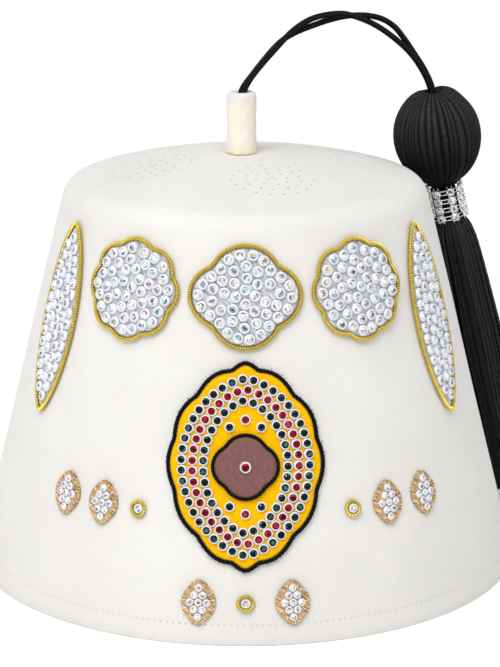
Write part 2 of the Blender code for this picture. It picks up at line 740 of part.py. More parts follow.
def main():
    """Build every piece of the hat in an empty scene."""
    for old in list(bpy.data.objects):
        bpy.data.objects.remove(old, do_unlink=True)
    felt = make_material("white_felt", (0.83, 0.81, 0.77), 0.95)
    cream = make_material("cream_felt", (0.84, 0.78, 0.64), 0.9)
    yarn = make_material("black_yarn", (0.012, 0.012, 0.013), 0.75)
    silver = make_material("silver_mesh", (0.75, 0.76, 0.78), 0.25, 1.0)
    backing = make_material("white_backing", (0.78, 0.80, 0.84), 0.45)
    purl = make_material("gold_purl", (0.72, 0.50, 0.10), 0.35, 1.0)
    satin = make_material("yellow_satin", (0.86, 0.52, 0.02), 0.5)
    dark_satin = make_material("brown_satin", (0.17, 0.07, 0.065), 0.5)
    black_cord = make_material("black_edge_cord", (0.015, 0.015, 0.015), 0.6)
    stones = make_material("coloured_stones", (0.10, 0.16, 0.12), 0.15)
    gold_satin = make_material("gold_backing", (0.62, 0.44, 0.22), 0.5)

    make_cap(felt)
    make_stem(cream)
    make_cord("hanging_cord_front", FRONT_CORD_ROUTE, yarn)
    make_cord("hanging_cord_back", BACK_CORD_ROUTE, yarn)
    make_ball(yarn)
    make_collar(silver)
    make_skirt(yarn)
    row_bottom = make_upper_row(backing, purl)
    lean = math.cos(SIDE_LEAN)
    medallion_top = row_bottom - (SEAT_GAP + EDGING_WIDTH + MEDALLION_MARGIN) * lean
    medallion_bottom = LOWER_ROW_HEIGHT + (FLORET.half_height + MEDALLION_MARGIN) * lean
    make_medallion(medallion_top, medallion_bottom, satin, dark_satin, black_cord, stones)
    make_small_pieces(gold_satin, purl)


main()
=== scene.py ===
import math
import random

import bmesh
import bpy
import numpy as np
from mathutils import Matrix, Vector, noise


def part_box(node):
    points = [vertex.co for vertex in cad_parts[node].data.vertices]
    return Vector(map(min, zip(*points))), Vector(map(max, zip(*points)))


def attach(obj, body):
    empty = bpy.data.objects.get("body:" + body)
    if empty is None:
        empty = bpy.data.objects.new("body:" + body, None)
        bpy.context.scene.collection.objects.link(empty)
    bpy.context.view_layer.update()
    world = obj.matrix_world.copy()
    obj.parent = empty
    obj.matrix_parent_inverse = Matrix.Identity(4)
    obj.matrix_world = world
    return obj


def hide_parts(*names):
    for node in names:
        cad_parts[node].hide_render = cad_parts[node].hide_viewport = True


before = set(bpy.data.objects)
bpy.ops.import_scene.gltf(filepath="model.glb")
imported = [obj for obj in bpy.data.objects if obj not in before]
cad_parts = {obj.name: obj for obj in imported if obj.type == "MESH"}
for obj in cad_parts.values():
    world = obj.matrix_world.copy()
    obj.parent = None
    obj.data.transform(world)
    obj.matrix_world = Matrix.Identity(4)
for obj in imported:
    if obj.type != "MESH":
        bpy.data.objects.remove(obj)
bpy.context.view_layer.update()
dice = random.Random(11)
print("frame loaded with", len(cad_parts), "CAD pieces")

# The hat's own sizes, in metres. The rim and the height come from the CAD box of the cap.
hat = {
    "rimRadius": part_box("felt_cap")[1][0],
    "height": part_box("felt_cap")[1][2],
    "crownRadius": 0.0634,
    "shoulderRadius": 0.0084,
    "crownRise": 0.0077,
    "wall": 0.0026,
    "layerGap": 0.0004,  # under what is wrapped on the side
    "seatGap": 0.0003,
    "tasselTurn": math.radians(22.0),
}
shoulderCentre = (
    hat["crownRadius"] - hat["shoulderRadius"],
    hat["height"] - hat["crownRise"] - hat["shoulderRadius"],
)
rimToCentre = hat["rimRadius"] - shoulderCentre[0]
sideLean = math.atan2(rimToCentre, shoulderCentre[1]) - math.asin(
    hat["shoulderRadius"] / math.hypot(rimToCentre, shoulderCentre[1])
)
sideTop = shoulderCentre[1] + hat["shoulderRadius"] * math.sin(sideLean)
domeDepth = hat["crownRise"] + hat["shoulderRadius"]
domeRadius = (shoulderCentre[0] ** 2 + domeDepth**2 - hat["shoulderRadius"] ** 2) / (2 * hat["crownRise"])
domeEdge = math.asin(shoulderCentre[0] / (domeRadius - hat["shoulderRadius"]))
tasselPlane = Matrix.Rotation(hat["tasselTurn"], 4, "Z")


def sideRadius(height):
    return hat["rimRadius"] - height * math.tan(sideLean)


# Points over the felt: so far across from an angle, up along the side and lifted out of it
def onSide(angle, height, across, up, lift):
    level = height + up * math.cos(sideLean)
    turn = angle + across / sideRadius(level)
    reach = sideRadius(level) + lift * math.cos(sideLean)
    columns = (reach * np.sin(turn), -reach * np.cos(turn), level + lift * math.sin(sideLean))
    return np.stack(np.broadcast_arrays(*columns), axis=-1)


# Right, up and outward directions of the felt's side at a turn from the front
def sideAxes(turn):
    turn = np.asarray(turn, dtype=float)
    sine, cosine = np.sin(turn), np.cos(turn)
    lean, leanCos = math.sin(sideLean), math.cos(sideLean)
    right = np.stack([cosine, sine, 0 * sine], axis=-1)
    up = np.stack([-sine * lean, cosine * lean, leanCos + 0 * sine], axis=-1)
    outward = np.stack([sine * leanCos, -cosine * leanCos, lean + 0 * sine], axis=-1)
    return right, up, outward


# Points, faces, stitch coordinates and facet tints gathered for one object
class MeshTray:
    def __init__(self):
        self.points = []
        self.faces = []
        self.finishes = []
        self.smooth = []
        self.uvs = []
        self.tints = []
        self.count = 0

    def add(self, points, faces, finish=0, smooth=True, uvs=None, tints=None):
        if isinstance(faces, np.ndarray):
            faces = faces.tolist()
        faces = [[corner + self.count for corner in face] for face in faces]
        corners = sum(len(face) for face in faces)
        self.points.append(np.asarray(points, dtype=float))
        self.count += len(points)
        self.faces += faces
        self.finishes += [finish] * len(faces)
        self.smooth += [smooth] * len(faces)
        flat = np.zeros((corners, 2)) if uvs is None else np.asarray(uvs, dtype=float)
        self.uvs.append(flat.reshape(-1, 2))
        self.tints += [0.5] * len(faces) if tints is None else list(tints)

    def makeObject(self, name, finishes):
        mesh = bpy.data.meshes.new(name)
        mesh.from_pydata(np.concatenate(self.points).tolist(), [], self.faces)
        for finish in finishes:
            mesh.materials.append(finish)
        mesh.polygons.foreach_set("material_index", self.finishes)
        mesh.polygons.foreach_set("use_smooth", self.smooth)
        mesh.uv_layers.new(name="lay").data.foreach_set("uv", np.concatenate(self.uvs).ravel())
        mesh.attributes.new("facet", "FLOAT", "FACE").data.foreach_set("value", self.tints)
        mesh.update()
        piece = bpy.data.objects.new(name, mesh)
        bpy.context.collection.objects.link(piece)
        return piece

    def move(self, place):
        self.points = [placed(points, place) for points in self.points]


# Quads between closed rings of points, with the ring and the side of each corner
def ringFaces(rings, sides, closed=False):
    row, side = np.divmod(np.arange((rings if closed else rings - 1) * sides), sides)
    rowCorners = np.stack([row, row, row + 1, row + 1], axis=1)
    sideCorners = np.stack([side, side + 1, side + 1, side], axis=1)
    return (rowCorners % rings) * sides + sideCorners % sides, rowCorners, sideCorners


def turnsOf(count):
    return 2 * np.pi * np.arange(count) / count


# Faces of an open run of rings, with the two that close its ends
def cappedFaces(rings, sides):
    last = (rings - 1) * sides
    ends = [list(range(sides))[::-1], list(range(last, last + sides))]
    return ringFaces(rings, sides)[0].tolist() + ends


def cappedUvs(uvs, sides):
    return np.concatenate([uvs.reshape(-1, 2), np.zeros((2 * sides, 2))])


def unit(vectors):
    return vectors / np.linalg.norm(vectors, axis=-1, keepdims=True)


def lengthsAlong(path):
    return np.concatenate([[0.0], np.cumsum(np.linalg.norm(np.diff(path, axis=0), axis=1))])


# Evenly spaced points on a path, which may close on itself
def evenly(path, spacing, closed=False):
    path = np.asarray(path, dtype=float)
    if closed:
        path = np.concatenate([path, path[:1]])
    lengths = lengthsAlong(path)
    count = max(3, round(lengths[-1] / spacing))
    marks = np.linspace(0, lengths[-1], count + 1)
    if closed:
        marks = marks[:-1]
    return np.stack([np.interp(marks, lengths, path[:, axis]) for axis in range(path.shape[1])], axis=1)


def tangentsOf(path, closed=False):
    if closed:
        return unit(np.roll(path, -1, axis=0) - np.roll(path, 1, axis=0))
    return unit(np.gradient(path, axis=0))


# Rounded plies wound round a core. One ply with a short lay is a coiled wire.
def twisted(plies, lay, depth):
    def relief(theta, length):
        turns = plies * (theta / 2 - math.pi * length / lay)
        return 1 - depth * (1 - np.abs(np.cos(turns + math.pi / 4)))

    return relief


# Two sets of strands that cross, as in a round braid
def braided(strands, lay, depth):
    def relief(theta, length):
        oneWay = np.abs(np.cos(strands * (theta / 2 - math.pi * length / lay)))
        otherWay = np.abs(np.cos(strands * (theta / 2 + math.pi * length / lay)))
        return 1 - depth * (1 - np.maximum(oneWay, otherWay))

    return relief


# A tube with an oval section. across, up and the path's direction are a right-handed set.
def addTube(tray, path, across, up, width, tall, sides, relief=None, closed=False, finish=0, rows=None):
    theta = turnsOf(sides)
    lengths = lengthsAlong(path) if rows is None else rows
    swell = np.ones((len(path), sides)) if relief is None else relief(theta[None, :], lengths[:, None])
    width = np.broadcast_to(width, len(path))[:, None] / 2
    tall = np.broadcast_to(tall, len(path))[:, None] / 2
    sideways = (np.cos(theta) * swell * width)[..., None] * across[:, None, :]
    outward = (np.sin(theta) * swell * tall)[..., None] * up[:, None, :]
    points = (path[:, None, :] + sideways + outward).reshape(-1, 3)
    faces, rowCorners, sideCorners = ringFaces(len(path), sides, closed)
    far = np.append(lengths, 2 * lengths[-1] - lengths[-2])
    uvs = np.stack([sideCorners / sides, far[rowCorners] * 1000], axis=-1)
    if not closed:
        faces, uvs = cappedFaces(len(path), sides), cappedUvs(uvs, sides)
    tray.add(points, faces, finish, True, uvs)


# A tube along a path, set square to an outward direction
def addRun(tray, path, outward, width, tall, sides, closed=False, **options):
    along = tangentsOf(path, closed)
    across = unit(np.cross(outward, along))
    addTube(tray, path, across, unit(np.cross(along, across)), width, tall, sides, closed=closed, **options)


# Points of a turned shape from radius and height pairs
def spun(profile, sides, wobble=None):
    theta = turnsOf(sides)
    radius, height = (np.repeat(np.array(profile)[:, [column]], sides, axis=1) for column in (0, 1))
    if wobble is not None:
        radius, height = wobble(radius, height, theta[None, :])
    return np.stack([radius * np.cos(theta), radius * np.sin(theta), height], axis=-1).reshape(-1, 3)


# A turned shape whose ends may lie on the axis
def addTurned(tray, profile, sides, place=Matrix(), wobble=None):
    points = spun(profile, sides, wobble)
    faces, rowCorners, sideCorners = ringFaces(len(profile), sides)
    uvs = np.stack([sideCorners / sides, lengthsAlong(profile)[rowCorners] * 1000], axis=-1)
    tray.add(placed(points, place), faces, 0, True, uvs)


def placed(points, place):
    place = np.array(place)
    return np.asarray(points) @ place[:3, :3].T + place[:3, 3]


# Points of one ring merge where the profile touches the axis
def weld(piece):
    mesh = bmesh.new()
    mesh.from_mesh(piece.data)
    bmesh.ops.remove_doubles(mesh, verts=mesh.verts, dist=1e-6)
    mesh.to_mesh(piece.data)
    mesh.free()


# Sets or links inputs of a node, by name or by _ and number. A colour may leave out its last value.
def feed(tree, node, **values):
    for key, value in values.items():
        socket = node.inputs[int(key[1:])] if key[1:].isdigit() else node.inputs[key.replace("_", " ")]
        if isinstance(value, bpy.types.NodeSocket):
            tree.links.new(value, socket)
        elif socket.type == "RGBA" and len(value) == 3:
            socket.default_value = (*value, 1)
        else:
            socket.default_value = value


def addNode(tree, kind, settings=None, **values):
    node = tree.nodes.new("ShaderNode" + kind)
    for key, value in (settings or {}).items():
        setattr(node, key, value)
    feed(tree, node, **values)
    return node.outputs


def mathNode(tree, operation, first, second=0.0, third=0.0):
    return addNode(tree, "Math", {"operation": operation}, _0=first, _1=second, _2=third)[0]


def times(tree, first, second):
    return mathNode(tree, "MULTIPLY", first, second)


# From 0 to 1 and back once in each whole step of a phase
def waveOf(tree, phase):
    return mathNode(tree, "MULTIPLY_ADD", mathNode(tree, "SINE", times(tree, phase, 2 * math.pi)), 0.5, 0.5)


def remap(tree, value, start, stop, low=0.0, high=1.0):
    return addNode(tree, "MapRange", _0=value, _1=start, _2=stop, _3=low, _4=high)[0]


def mixColour(tree, share, first, second):
    return addNode(tree, "Mix", {"data_type": "RGBA"}, _0=share, _6=first, _7=second)[2]


def noiseNode(tree, place, scale, detail, roughness=0.5):
    return addNode(tree, "TexNoise", Vector=place, Scale=scale, Detail=detail, Roughness=roughness)


def split(tree, vector):
    return addNode(tree, "SeparateXYZ", Vector=vector)


def objectPlace(tree):
    return addNode(tree, "TexCoord")["Object"]


# Turns round a piece and millimetres along it, or its flat place in millimetres
def layOf(tree):
    return addNode(tree, "UVMap")[0]


def facetTint(tree):
    return addNode(tree, "Attribute", {"attribute_name": "facet"})["Fac"]


# A group with named inputs. One whose value is a tuple is a colour.
def newGroup(name, inputs):
    group = bpy.data.node_groups.new(name, "ShaderNodeTree")
    for key, value in inputs.items():
        kind = "NodeSocketColor" if isinstance(value, tuple) else "NodeSocketFloat"
        group.interface.new_socket(key, in_out="INPUT", socket_type=kind).default_value = value
    return group, group.nodes.new("NodeGroupInput").outputs


# Named outputs, each of the kind that feeds it
def putOut(group, **values):
    for key, value in values.items():
        kind = "NodeSocketColor" if value.type == "RGBA" else "NodeSocketFloat"
        group.interface.new_socket(key, in_out="OUTPUT", socket_type=kind)
    feed(group, group.nodes.new("NodeGroupOutput"), **values)
    return group


# Fine fibres lying every way, with soft clouds under them
def fibreGroup():
    group, given = newGroup("Fibre Nap", {"Fibre Scale": 900.0, "Cloud Scale": 18.0})
    place = objectPlace(group)
    swirl = noiseNode(group, place, 160.0, 2.0)["Color"]
    bent = addNode(group, "Mix", {"data_type": "VECTOR"}, _0=0.02, _4=place, _5=swirl)[1]
    fine = noiseNode(group, bent, given["Fibre Scale"], 6.0, 0.75)["Fac"]
    cloud = noiseNode(group, place, given["Cloud Scale"], 4.0, 0.6)["Fac"]
    return putOut(group, Fibre=fine, Cloud=cloud, Height=mathNode(group, "MULTIPLY_ADD", cloud, 0.6, fine))


# Slanting stitches along a yarn or braid, from the lay of its surface
def braidGroup():
    group, given = newGroup("Braid Lay", {"Columns": 4.0, "Stitch Length": 0.9, "Slant": 0.5, "Plies": 1.0})
    lay = split(group, layOf(group))
    columns = times(group, lay[0], given["Columns"])
    ply = mathNode(group, "PINGPONG", times(group, columns, given["Plies"]), 0.5)
    run = mathNode(group, "DIVIDE", lay[1], given["Stitch Length"])
    ridge = waveOf(group, mathNode(group, "ADD", run, times(group, ply, given["Slant"])))
    fold = mathNode(group, "PINGPONG", columns, 0.5)
    middle = mathNode(group, "COSINE", times(group, fold, math.pi))
    crest = mathNode(group, "MULTIPLY_ADD", mathNode(group, "POWER", ridge, 3.0), 0.96, 0.04)
    # In a yarn's colour this groove mask is painted shade, and the pale crests it leaves are partly painted
    # highlight
    groove = mathNode(group, "SUBTRACT", 1.0, times(group, crest, middle))
    return putOut(
        group, Ridge=mathNode(group, "MULTIPLY_ADD", middle, 0.8, ridge), Groove=groove, Coil=ridge
    )


# Long close stitches that cover a shape, lying at an angle in its plane
def stitchGroup():
    group, given = newGroup("Satin Stitch", {"Pitch": 0.35, "Angle": 0.0})
    turning = {"rotation_type": "Z_AXIS"}
    turned = addNode(group, "VectorRotate", turning, Vector=layOf(group), Angle=given["Angle"])[0]
    wander = noiseNode(group, turned, 0.45, 3.0)["Fac"]
    bent = mathNode(group, "MULTIPLY_ADD", wander, 0.9, split(group, turned)[1])
    thread = waveOf(group, mathNode(group, "DIVIDE", bent, given["Pitch"]))
    stretched = addNode(group, "Mapping", Vector=turned, Scale=(0.25, 5.0, 1.0))[0]
    return putOut(group, Thread=thread, Shade=noiseNode(group, stretched, 1.0, 4.0)["Fac"])


# What a cut stone shows in each facet, painted into its colour: from a dark painted reflection through its
# body colour to a bright flash, a painted highlight
def fireGroup():
    shades = {"Dark": (0.0, 0.0, 0.0, 1.0), "Body": (0.5, 0.5, 0.5, 1.0), "Flash": (1.0, 1.0, 1.0, 1.0)}
    group, given = newGroup("Stone Fire", shades)
    facet = facetTint(group)
    body = mixColour(group, remap(group, facet, 0.05, 0.55), given["Dark"], given["Body"])
    spark = remap(group, facet, 0.72, 0.95)
    return putOut(group, Colour=mixColour(group, spark, body, given["Flash"]), Spark=spark)


# Handling marks and settled dust, coarse and fine
def wearGroup():
    group, given = newGroup("Handled Wear", {"Scale": 300.0, "Low": 0.2, "High": 0.5})
    marks = noiseNode(group, objectPlace(group), given["Scale"], 5.0)["Fac"]
    return putOut(group, Roughness=remap(group, marks, 0.35, 0.65, given["Low"], given["High"]), Mask=marks)


# Small holes in a level line round the cap, where the stitches go in
def needleGroup():
    group, given = newGroup("Needle Holes", {"Count": 280.0, "Level": 0.0065, "Pitch": 0.0021})
    across, deep, level = split(group, objectPlace(group))
    turn = mathNode(group, "DIVIDE", mathNode(group, "ARCTAN2", deep, across), 2 * math.pi)
    steps = mathNode(group, "PINGPONG", times(group, turn, given["Count"]), 0.5)
    along = times(group, steps, given["Pitch"])
    above = mathNode(group, "ABSOLUTE", mathNode(group, "SUBTRACT", level, given["Level"]))
    square = mathNode(group, "MULTIPLY_ADD", along, along, times(group, above, above))
    hole = remap(group, mathNode(group, "SQRT", square), 0.00018, 0.00042, 1.0, 0.0)
    return putOut(group, Hole=hole, Line=remap(group, above, 0.0, 0.0009, 1.0, 0.0))


groups = {
    "needle": needleGroup(),
    "fibre": fibreGroup(),
    "braid": braidGroup(),
    "stitch": stitchGroup(),
    "fire": fireGroup(),
    "wear": wearGroup(),
}
print("shader groups made")


def newMaterial(name, **values):
    material = bpy.data.materials.new(name)
    material.use_nodes = True
    shader = material.node_tree.nodes["Principled BSDF"]
    feed(material.node_tree, shader, **values)
    return material, material.node_tree, shader


def useGroup(tree, name, **values):
    return addNode(tree, "Group", {"node_tree": groups[name]}, **values)


def addBump(tree, shader, height, strength, distance):
    feed(tree, shader, Normal=addNode(tree, "Bump", Height=height, Strength=strength, Distance=distance)[0])


# Each level tint is a colour, its share, and the heights between which it fades out: on the white felt a
# painted shade towards the rim, on the stem a grey top and a yellow foot
def makeFelt(name, light, dark, fibreScale, levelTints, stitchCount=0):
    material, tree, shader = newMaterial(
        name, Roughness=0.95, Sheen_Weight=0.25, Sheen_Roughness=0.6, Specular_IOR_Level=0.15
    )
    nap = useGroup(tree, "fibre", Fibre_Scale=fibreScale, Cloud_Scale=22.0)
    ground = mixColour(tree, remap(tree, nap["Cloud"], 0.35, 0.7), light, dark)
    fibres = remap(tree, nap["Fibre"], 0.4, 0.75, 0.0, 0.45)
    feltWithShade = mixColour(tree, fibres, ground, [0.84 * part for part in dark])
    place = objectPlace(tree)
    for colour, share, start, stop in levelTints:
        fade = remap(tree, split(tree, place)[2], start, stop, share, 0.0)
        feltWithShade = mixColour(tree, fade, feltWithShade, colour)
    height = nap["Height"]
    if stitchCount:
        flat = addNode(tree, "VectorMath", {"operation": "MULTIPLY"}, _0=place, _1=(1.0, 1.0, 0.0))[0]
        gap = addNode(tree, "VectorMath", {"operation": "DISTANCE"}, _0=flat, _1=stemFoot)["Value"]
        # A yellow tint on the crown round the stem's foot
        footTinted = remap(tree, gap, *stem["footTint"], 0.4, 0.0)
        feltWithShade = mixColour(tree, footTinted, feltWithShade, (0.80, 0.70, 0.46))
        level, pitch = stitches["height"], stitches["pitch"]
        needle = useGroup(tree, "needle", Count=stitchCount, Level=level, Pitch=pitch)
        # Painted shade: the needle holes are painted dark
        feltWithShade = mixColour(tree, times(tree, needle["Hole"], 0.55), feltWithShade, (0.16, 0.15, 0.14))
        pulled = mathNode(tree, "MULTIPLY_ADD", needle["Line"], 0.5, needle["Hole"])
        height = mathNode(tree, "SUBTRACT", height, pulled)
    feed(tree, shader, Base_Color=feltWithShade)
    addBump(tree, shader, height, 0.5, 0.0003)
    return material


# The yarn's crests are paler, partly as painted highlight, its grooves are near black as painted shade, and
# what faces down is darker as painted shade of light from above
def makeYarn(name, columns, stitchLength, slant, ridge, plies=1.0):
    material, tree, shader = newMaterial(name, Specular_IOR_Level=0.12)
    lay = useGroup(tree, "braid", Columns=columns, Stitch_Length=stitchLength, Slant=slant, Plies=plies)
    light, dark = (ridge, 1.06 * ridge, 1.12 * ridge), (0.001, 0.001, 0.0011)
    # The group's roughness serves as a mask of dull specks here
    specks = useGroup(tree, "wear", Scale=1500.0, Low=0.85, High=0.0)["Roughness"]
    # Painted shade in the grooves, and in part painted highlight on the pale crests
    yarn = mixColour(tree, mathNode(tree, "MAXIMUM", lay["Groove"], specks), light, dark)
    facing = split(tree, addNode(tree, "NewGeometry")["Normal"])[2]
    # Painted shade: the colour turns towards near black on what faces down
    yarn = mixColour(tree, remap(tree, facing, 0.45, -0.45, 0.0, 0.9), yarn, dark)
    feed(tree, shader, Base_Color=yarn, Roughness=remap(tree, lay["Groove"], 0.0, 1.0, 0.5, 0.9))
    addBump(tree, shader, lay["Ridge"], 0.6, 0.0002)
    return material


def makeSatin(name, light, dark, angle, pitch=0.34, patchy=0.2, gloss=0.3):
    material, tree, shader = newMaterial(name, Specular_IOR_Level=gloss)
    lay = useGroup(tree, "stitch", Pitch=pitch, Angle=angle)
    colour = mixColour(tree, remap(tree, lay["Shade"], 0.5 - patchy, 0.5 + patchy), light, dark)
    feed(tree, shader, Base_Color=colour, Roughness=remap(tree, lay["Thread"], 0.0, 1.0, 0.75, 0.5))
    addBump(tree, shader, lay["Thread"], 0.3, 0.0001)
    return material


# Wire or plastic with handling marks
def makeHandled(name, light, dark, scale, low, high, relief=0.0, **values):
    material, tree, shader = newMaterial(name, **values)
    wear = useGroup(tree, "wear", Scale=scale, Low=low, High=high)
    feed(tree, shader, Base_Color=mixColour(tree, wear["Mask"], light, dark), Roughness=wear["Roughness"])
    if relief:
        addBump(tree, shader, wear["Mask"], relief, 0.00005)
    return material


# A coiled gold wire, with painted shade between its turns
def makePurl(name, light, dark, lay):
    material, tree, shader = newMaterial(name, Metallic=0.9)
    coil = useGroup(tree, "braid", Columns=1.0, Stitch_Length=lay * 1000, Slant=-1.0)["Coil"]
    wear = useGroup(tree, "wear", Scale=700.0, Low=0.22, High=0.40)
    colour = mixColour(tree, remap(tree, coil, 0.1, 0.7), dark, light)
    feed(tree, shader, Base_Color=colour, Roughness=wear["Roughness"])
    addBump(tree, shader, coil, 0.8, 0.0002)
    return material


# Dark and flash colours are painted reflections on the facets
def makeStone(name, dark, body, flash, metallic, gloss=0.5):
    material, tree, shader = newMaterial(name, Metallic=metallic, Specular_IOR_Level=gloss)
    fire = useGroup(tree, "fire", Dark=dark, Body=body, Flash=flash)
    rough = remap(tree, fire["Spark"], 0.0, 1.0, 0.06, 0.16)
    feed(tree, shader, Base_Color=fire["Colour"], Roughness=rough)
    return material


# The real film on clear stones, whose colours are painted into the facets together with dark and white
# painted reflections: places on the ramp and their colours
rainbowFilm = (
    (0.00, (0.03, 0.03, 0.035)),
    (0.07, (0.10, 0.14, 0.20)),
    (0.15, (0.22, 0.50, 0.58)),
    (0.24, (0.62, 0.82, 0.84)),
    (0.36, (0.93, 0.94, 0.95)),
    (0.50, (0.96, 0.96, 0.97)),
    (0.60, (0.66, 0.68, 0.22)),
    (0.67, (0.92, 0.91, 0.89)),
    (0.76, (0.66, 0.62, 0.76)),
    (0.84, (0.28, 0.20, 0.36)),
    (0.90, (0.50, 0.16, 0.14)),
    (0.96, (0.30, 0.28, 0.27)),
)


# Clear stones with a rainbow film, each facet its own place on the ramp, its colour a painted reflection
def makeRainbowStone(name):
    material, tree, shader = newMaterial(
        name, Metallic=0.35, Coat_Weight=0.8, Coat_Roughness=0.03, IOR=1.6
    )
    ramp = tree.nodes.new("ShaderNodeValToRGB")
    stops = ramp.color_ramp.elements
    while len(stops) < len(rainbowFilm):
        stops.new(0.5)
    for stop, (place, colour) in zip(stops, rainbowFilm):
        stop.position = place
        stop.color = (*colour, 1)
    feed(tree, ramp, _0=facetTint(tree))
    wear = useGroup(tree, "wear", Scale=900.0, Low=0.05, High=0.14)
    feed(tree, shader, Base_Color=ramp.outputs[0], Roughness=wear["Roughness"])
    return material


patchwork = {
    "thick": 0.0008,
    "cup": 0.00192,
    "pitch": 0.00372,
    "jitter": 0.00008,
    "sink": 0.00005,  # of each cup into its backing
    "edgingWidth": 0.0018,
    "edgingTall": 0.0016,
    "edgingSlim": 0.9,
    "edgingLay": 0.00056,
    "edgingDepth": 0.4,
    "edgingStep": 0.00014,
    "edgingSides": 10,
    "rowMargin": 0.0028,
    "backingStep": 0.0009,
    "backingReach": 0.00022,
    "leafAngle": math.radians(59.5),
    "rosetteAngle": math.radians(32.5),
}
stitches = {
    "height": 0.0065,
    "pitch": 0.0021,
    "length": 0.0009,
    "thick": 0.00034,
    "sides": 6,
    "drift": 0.00006,
    "lift": 0.00002,
}
stem = {
    "radius": 0.00505,
    "height": 0.021,
    "edge": 0.0016,
    "shift": 0.0014,
    "boreRadius": 0.0025,
    "boreDepth": 0.0009,  # seen depth: felt closes round the cords below it
    "squeeze": 0.45,  # the bore is narrower across the two cords
    "flare": 0.00012,
    "sides": 64,
    "waves": (0.00006, 0.00005),
    "footWaves": 0.00016,
    "swell": 0.00008,
    "footTint": (0.0052, 0.0085),  # where the yellow tint on the crown round the stem's foot starts and ends
}
stemFoot = tasselPlane @ Vector((-stem["shift"], 0.0, 0.0))
stemTop = hat["height"] + stem["height"]
stitchCount = round(2 * math.pi * sideRadius(stitches["height"]) / stitches["pitch"])
# Painted shade: the white felt darkens towards the rim
rimShade = ((0.62, 0.60, 0.58), 0.45, 0.0, 0.035)
# The stem is greyer towards its top and yellow round its foot
stemTints = (
    ((0.70, 0.69, 0.69), 0.8, stemTop, stemTop - 0.0045),
    ((0.86, 0.74, 0.44), 0.55, hat["height"], hat["height"] + 0.004),
)
finishes = {
    "whiteFelt": makeFelt(
        "white felt", (0.80, 0.785, 0.755), (0.74, 0.72, 0.69), 1500.0, [rimShade], stitchCount
    ),
    "creamFelt": makeFelt("cream felt", (0.95, 0.90, 0.79), (0.90, 0.83, 0.70), 1300.0, stemTints),
    # Yarns: pale crests are partly painted highlight; grooves and what faces down get painted shade
    "ballYarn": makeYarn("ball yarn", 44.0, 0.62, 2.0, 0.12, plies=2.0),
    "cordYarn": makeYarn("cord yarn", 4.0, 0.9, 1.0, 0.05),
    "skirtYarn": makeYarn("skirt yarn", 3.0, 0.8, 1.6, 0.14),
    "silverWire": makeHandled(
        "silver wire", (0.96, 0.97, 0.98), (0.76, 0.77, 0.80), 700.0, 0.12, 0.3, 0.1, Metallic=1.0
    ),
    # The purl's dark colour is painted shade between the wire's turns
    "goldPurl": makePurl("gold purl", (1.0, 0.85, 0.19), (0.36, 0.22, 0.018), patchwork["edgingLay"]),
    "whiteCup": makeHandled(
        "white cup",
        (0.82, 0.83, 0.88),
        (0.70, 0.71, 0.78),
        500.0,
        0.18,
        0.42,
        Coat_Weight=0.4,
        Coat_Roughness=0.15,
    ),
    # Stones: dark, flash and film colours are painted reflections on the facets; the red and green bodies are
    # the stones' own colours
    "clearStone": makeRainbowStone("clear stone"),
    "collarStone": makeStone("collar stone", (0.04, 0.04, 0.05), (0.84, 0.86, 0.89), (1.0, 1.0, 1.0), 0.3),
    "redStone": makeStone(
        "red stone", (0.05, 0.0, 0.002), (0.25, 0.001, 0.004), (0.48, 0.04, 0.06), 0.0, 0.12
    ),
    "greenStone": makeStone(
        "green stone", (0.0, 0.003, 0.003), (0.001, 0.013, 0.009), (0.06, 0.14, 0.12), 0.0, 0.16
    ),
    "yellowSatin": makeSatin("yellow satin", (0.98, 0.54, 0.001), (0.82, 0.41, 0.0), 0.0, gloss=0.04),
    "brownSatin": makeSatin("brown satin", (0.26, 0.115, 0.11), (0.13, 0.048, 0.046), 1.2, pitch=0.5),
    "tanBacking": makeSatin("tan backing", (0.80, 0.55, 0.26), (0.16, 0.08, 0.03), 0.6, 0.5, 0.07),
    "greyBacking": makeSatin("grey backing", (0.82, 0.82, 0.86), (0.22, 0.22, 0.23), 0.8, 0.5, 0.1),
    # Painted shade and painted highlight as in the other yarns
    "blackCord": makeYarn("black edge cord", 3.0, 0.9, 0.8, 0.03),
    "whiteThread": makeSatin("white thread", (0.86, 0.85, 0.84), (0.72, 0.71, 0.70), 0.0),
}
print("materials made:", len(finishes))


# Every piece of a hat without joints rides on its one body
def seat(piece, slotName, *nodes):
    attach(piece, "root")
    if nodes:
        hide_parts(*nodes)
    return piece


# One object from a tray, with its finishes in the order that its faces count them
def finishPiece(tray, name, layers, slotName, *nodes, welded=False):
    piece = tray.makeObject(name, [finishes[layer] for layer in layers])
    if welded:
        weld(piece)
    return seat(piece, slotName, *nodes)


cameraPlan = {
    "place": (0.0, -0.836, 0.309),
    "tiltDown": math.radians(15.41),
    "turn": math.radians(-0.109),
    "lens": 133.2,
    "sensor": 36.0,
}


def makeCamera():
    lens = bpy.data.cameras.new("camera")
    lens.lens = cameraPlan["lens"]
    lens.sensor_width = cameraPlan["sensor"]
    lens.clip_start = 0.01
    camera = bpy.data.objects.new("camera", lens)
    camera.location = cameraPlan["place"]
    camera.rotation_euler = (math.pi / 2 - cameraPlan["tiltDown"], 0.0, cameraPlan["turn"])
    bpy.context.collection.objects.link(camera)
    bpy.context.scene.camera = camera


makeCamera()

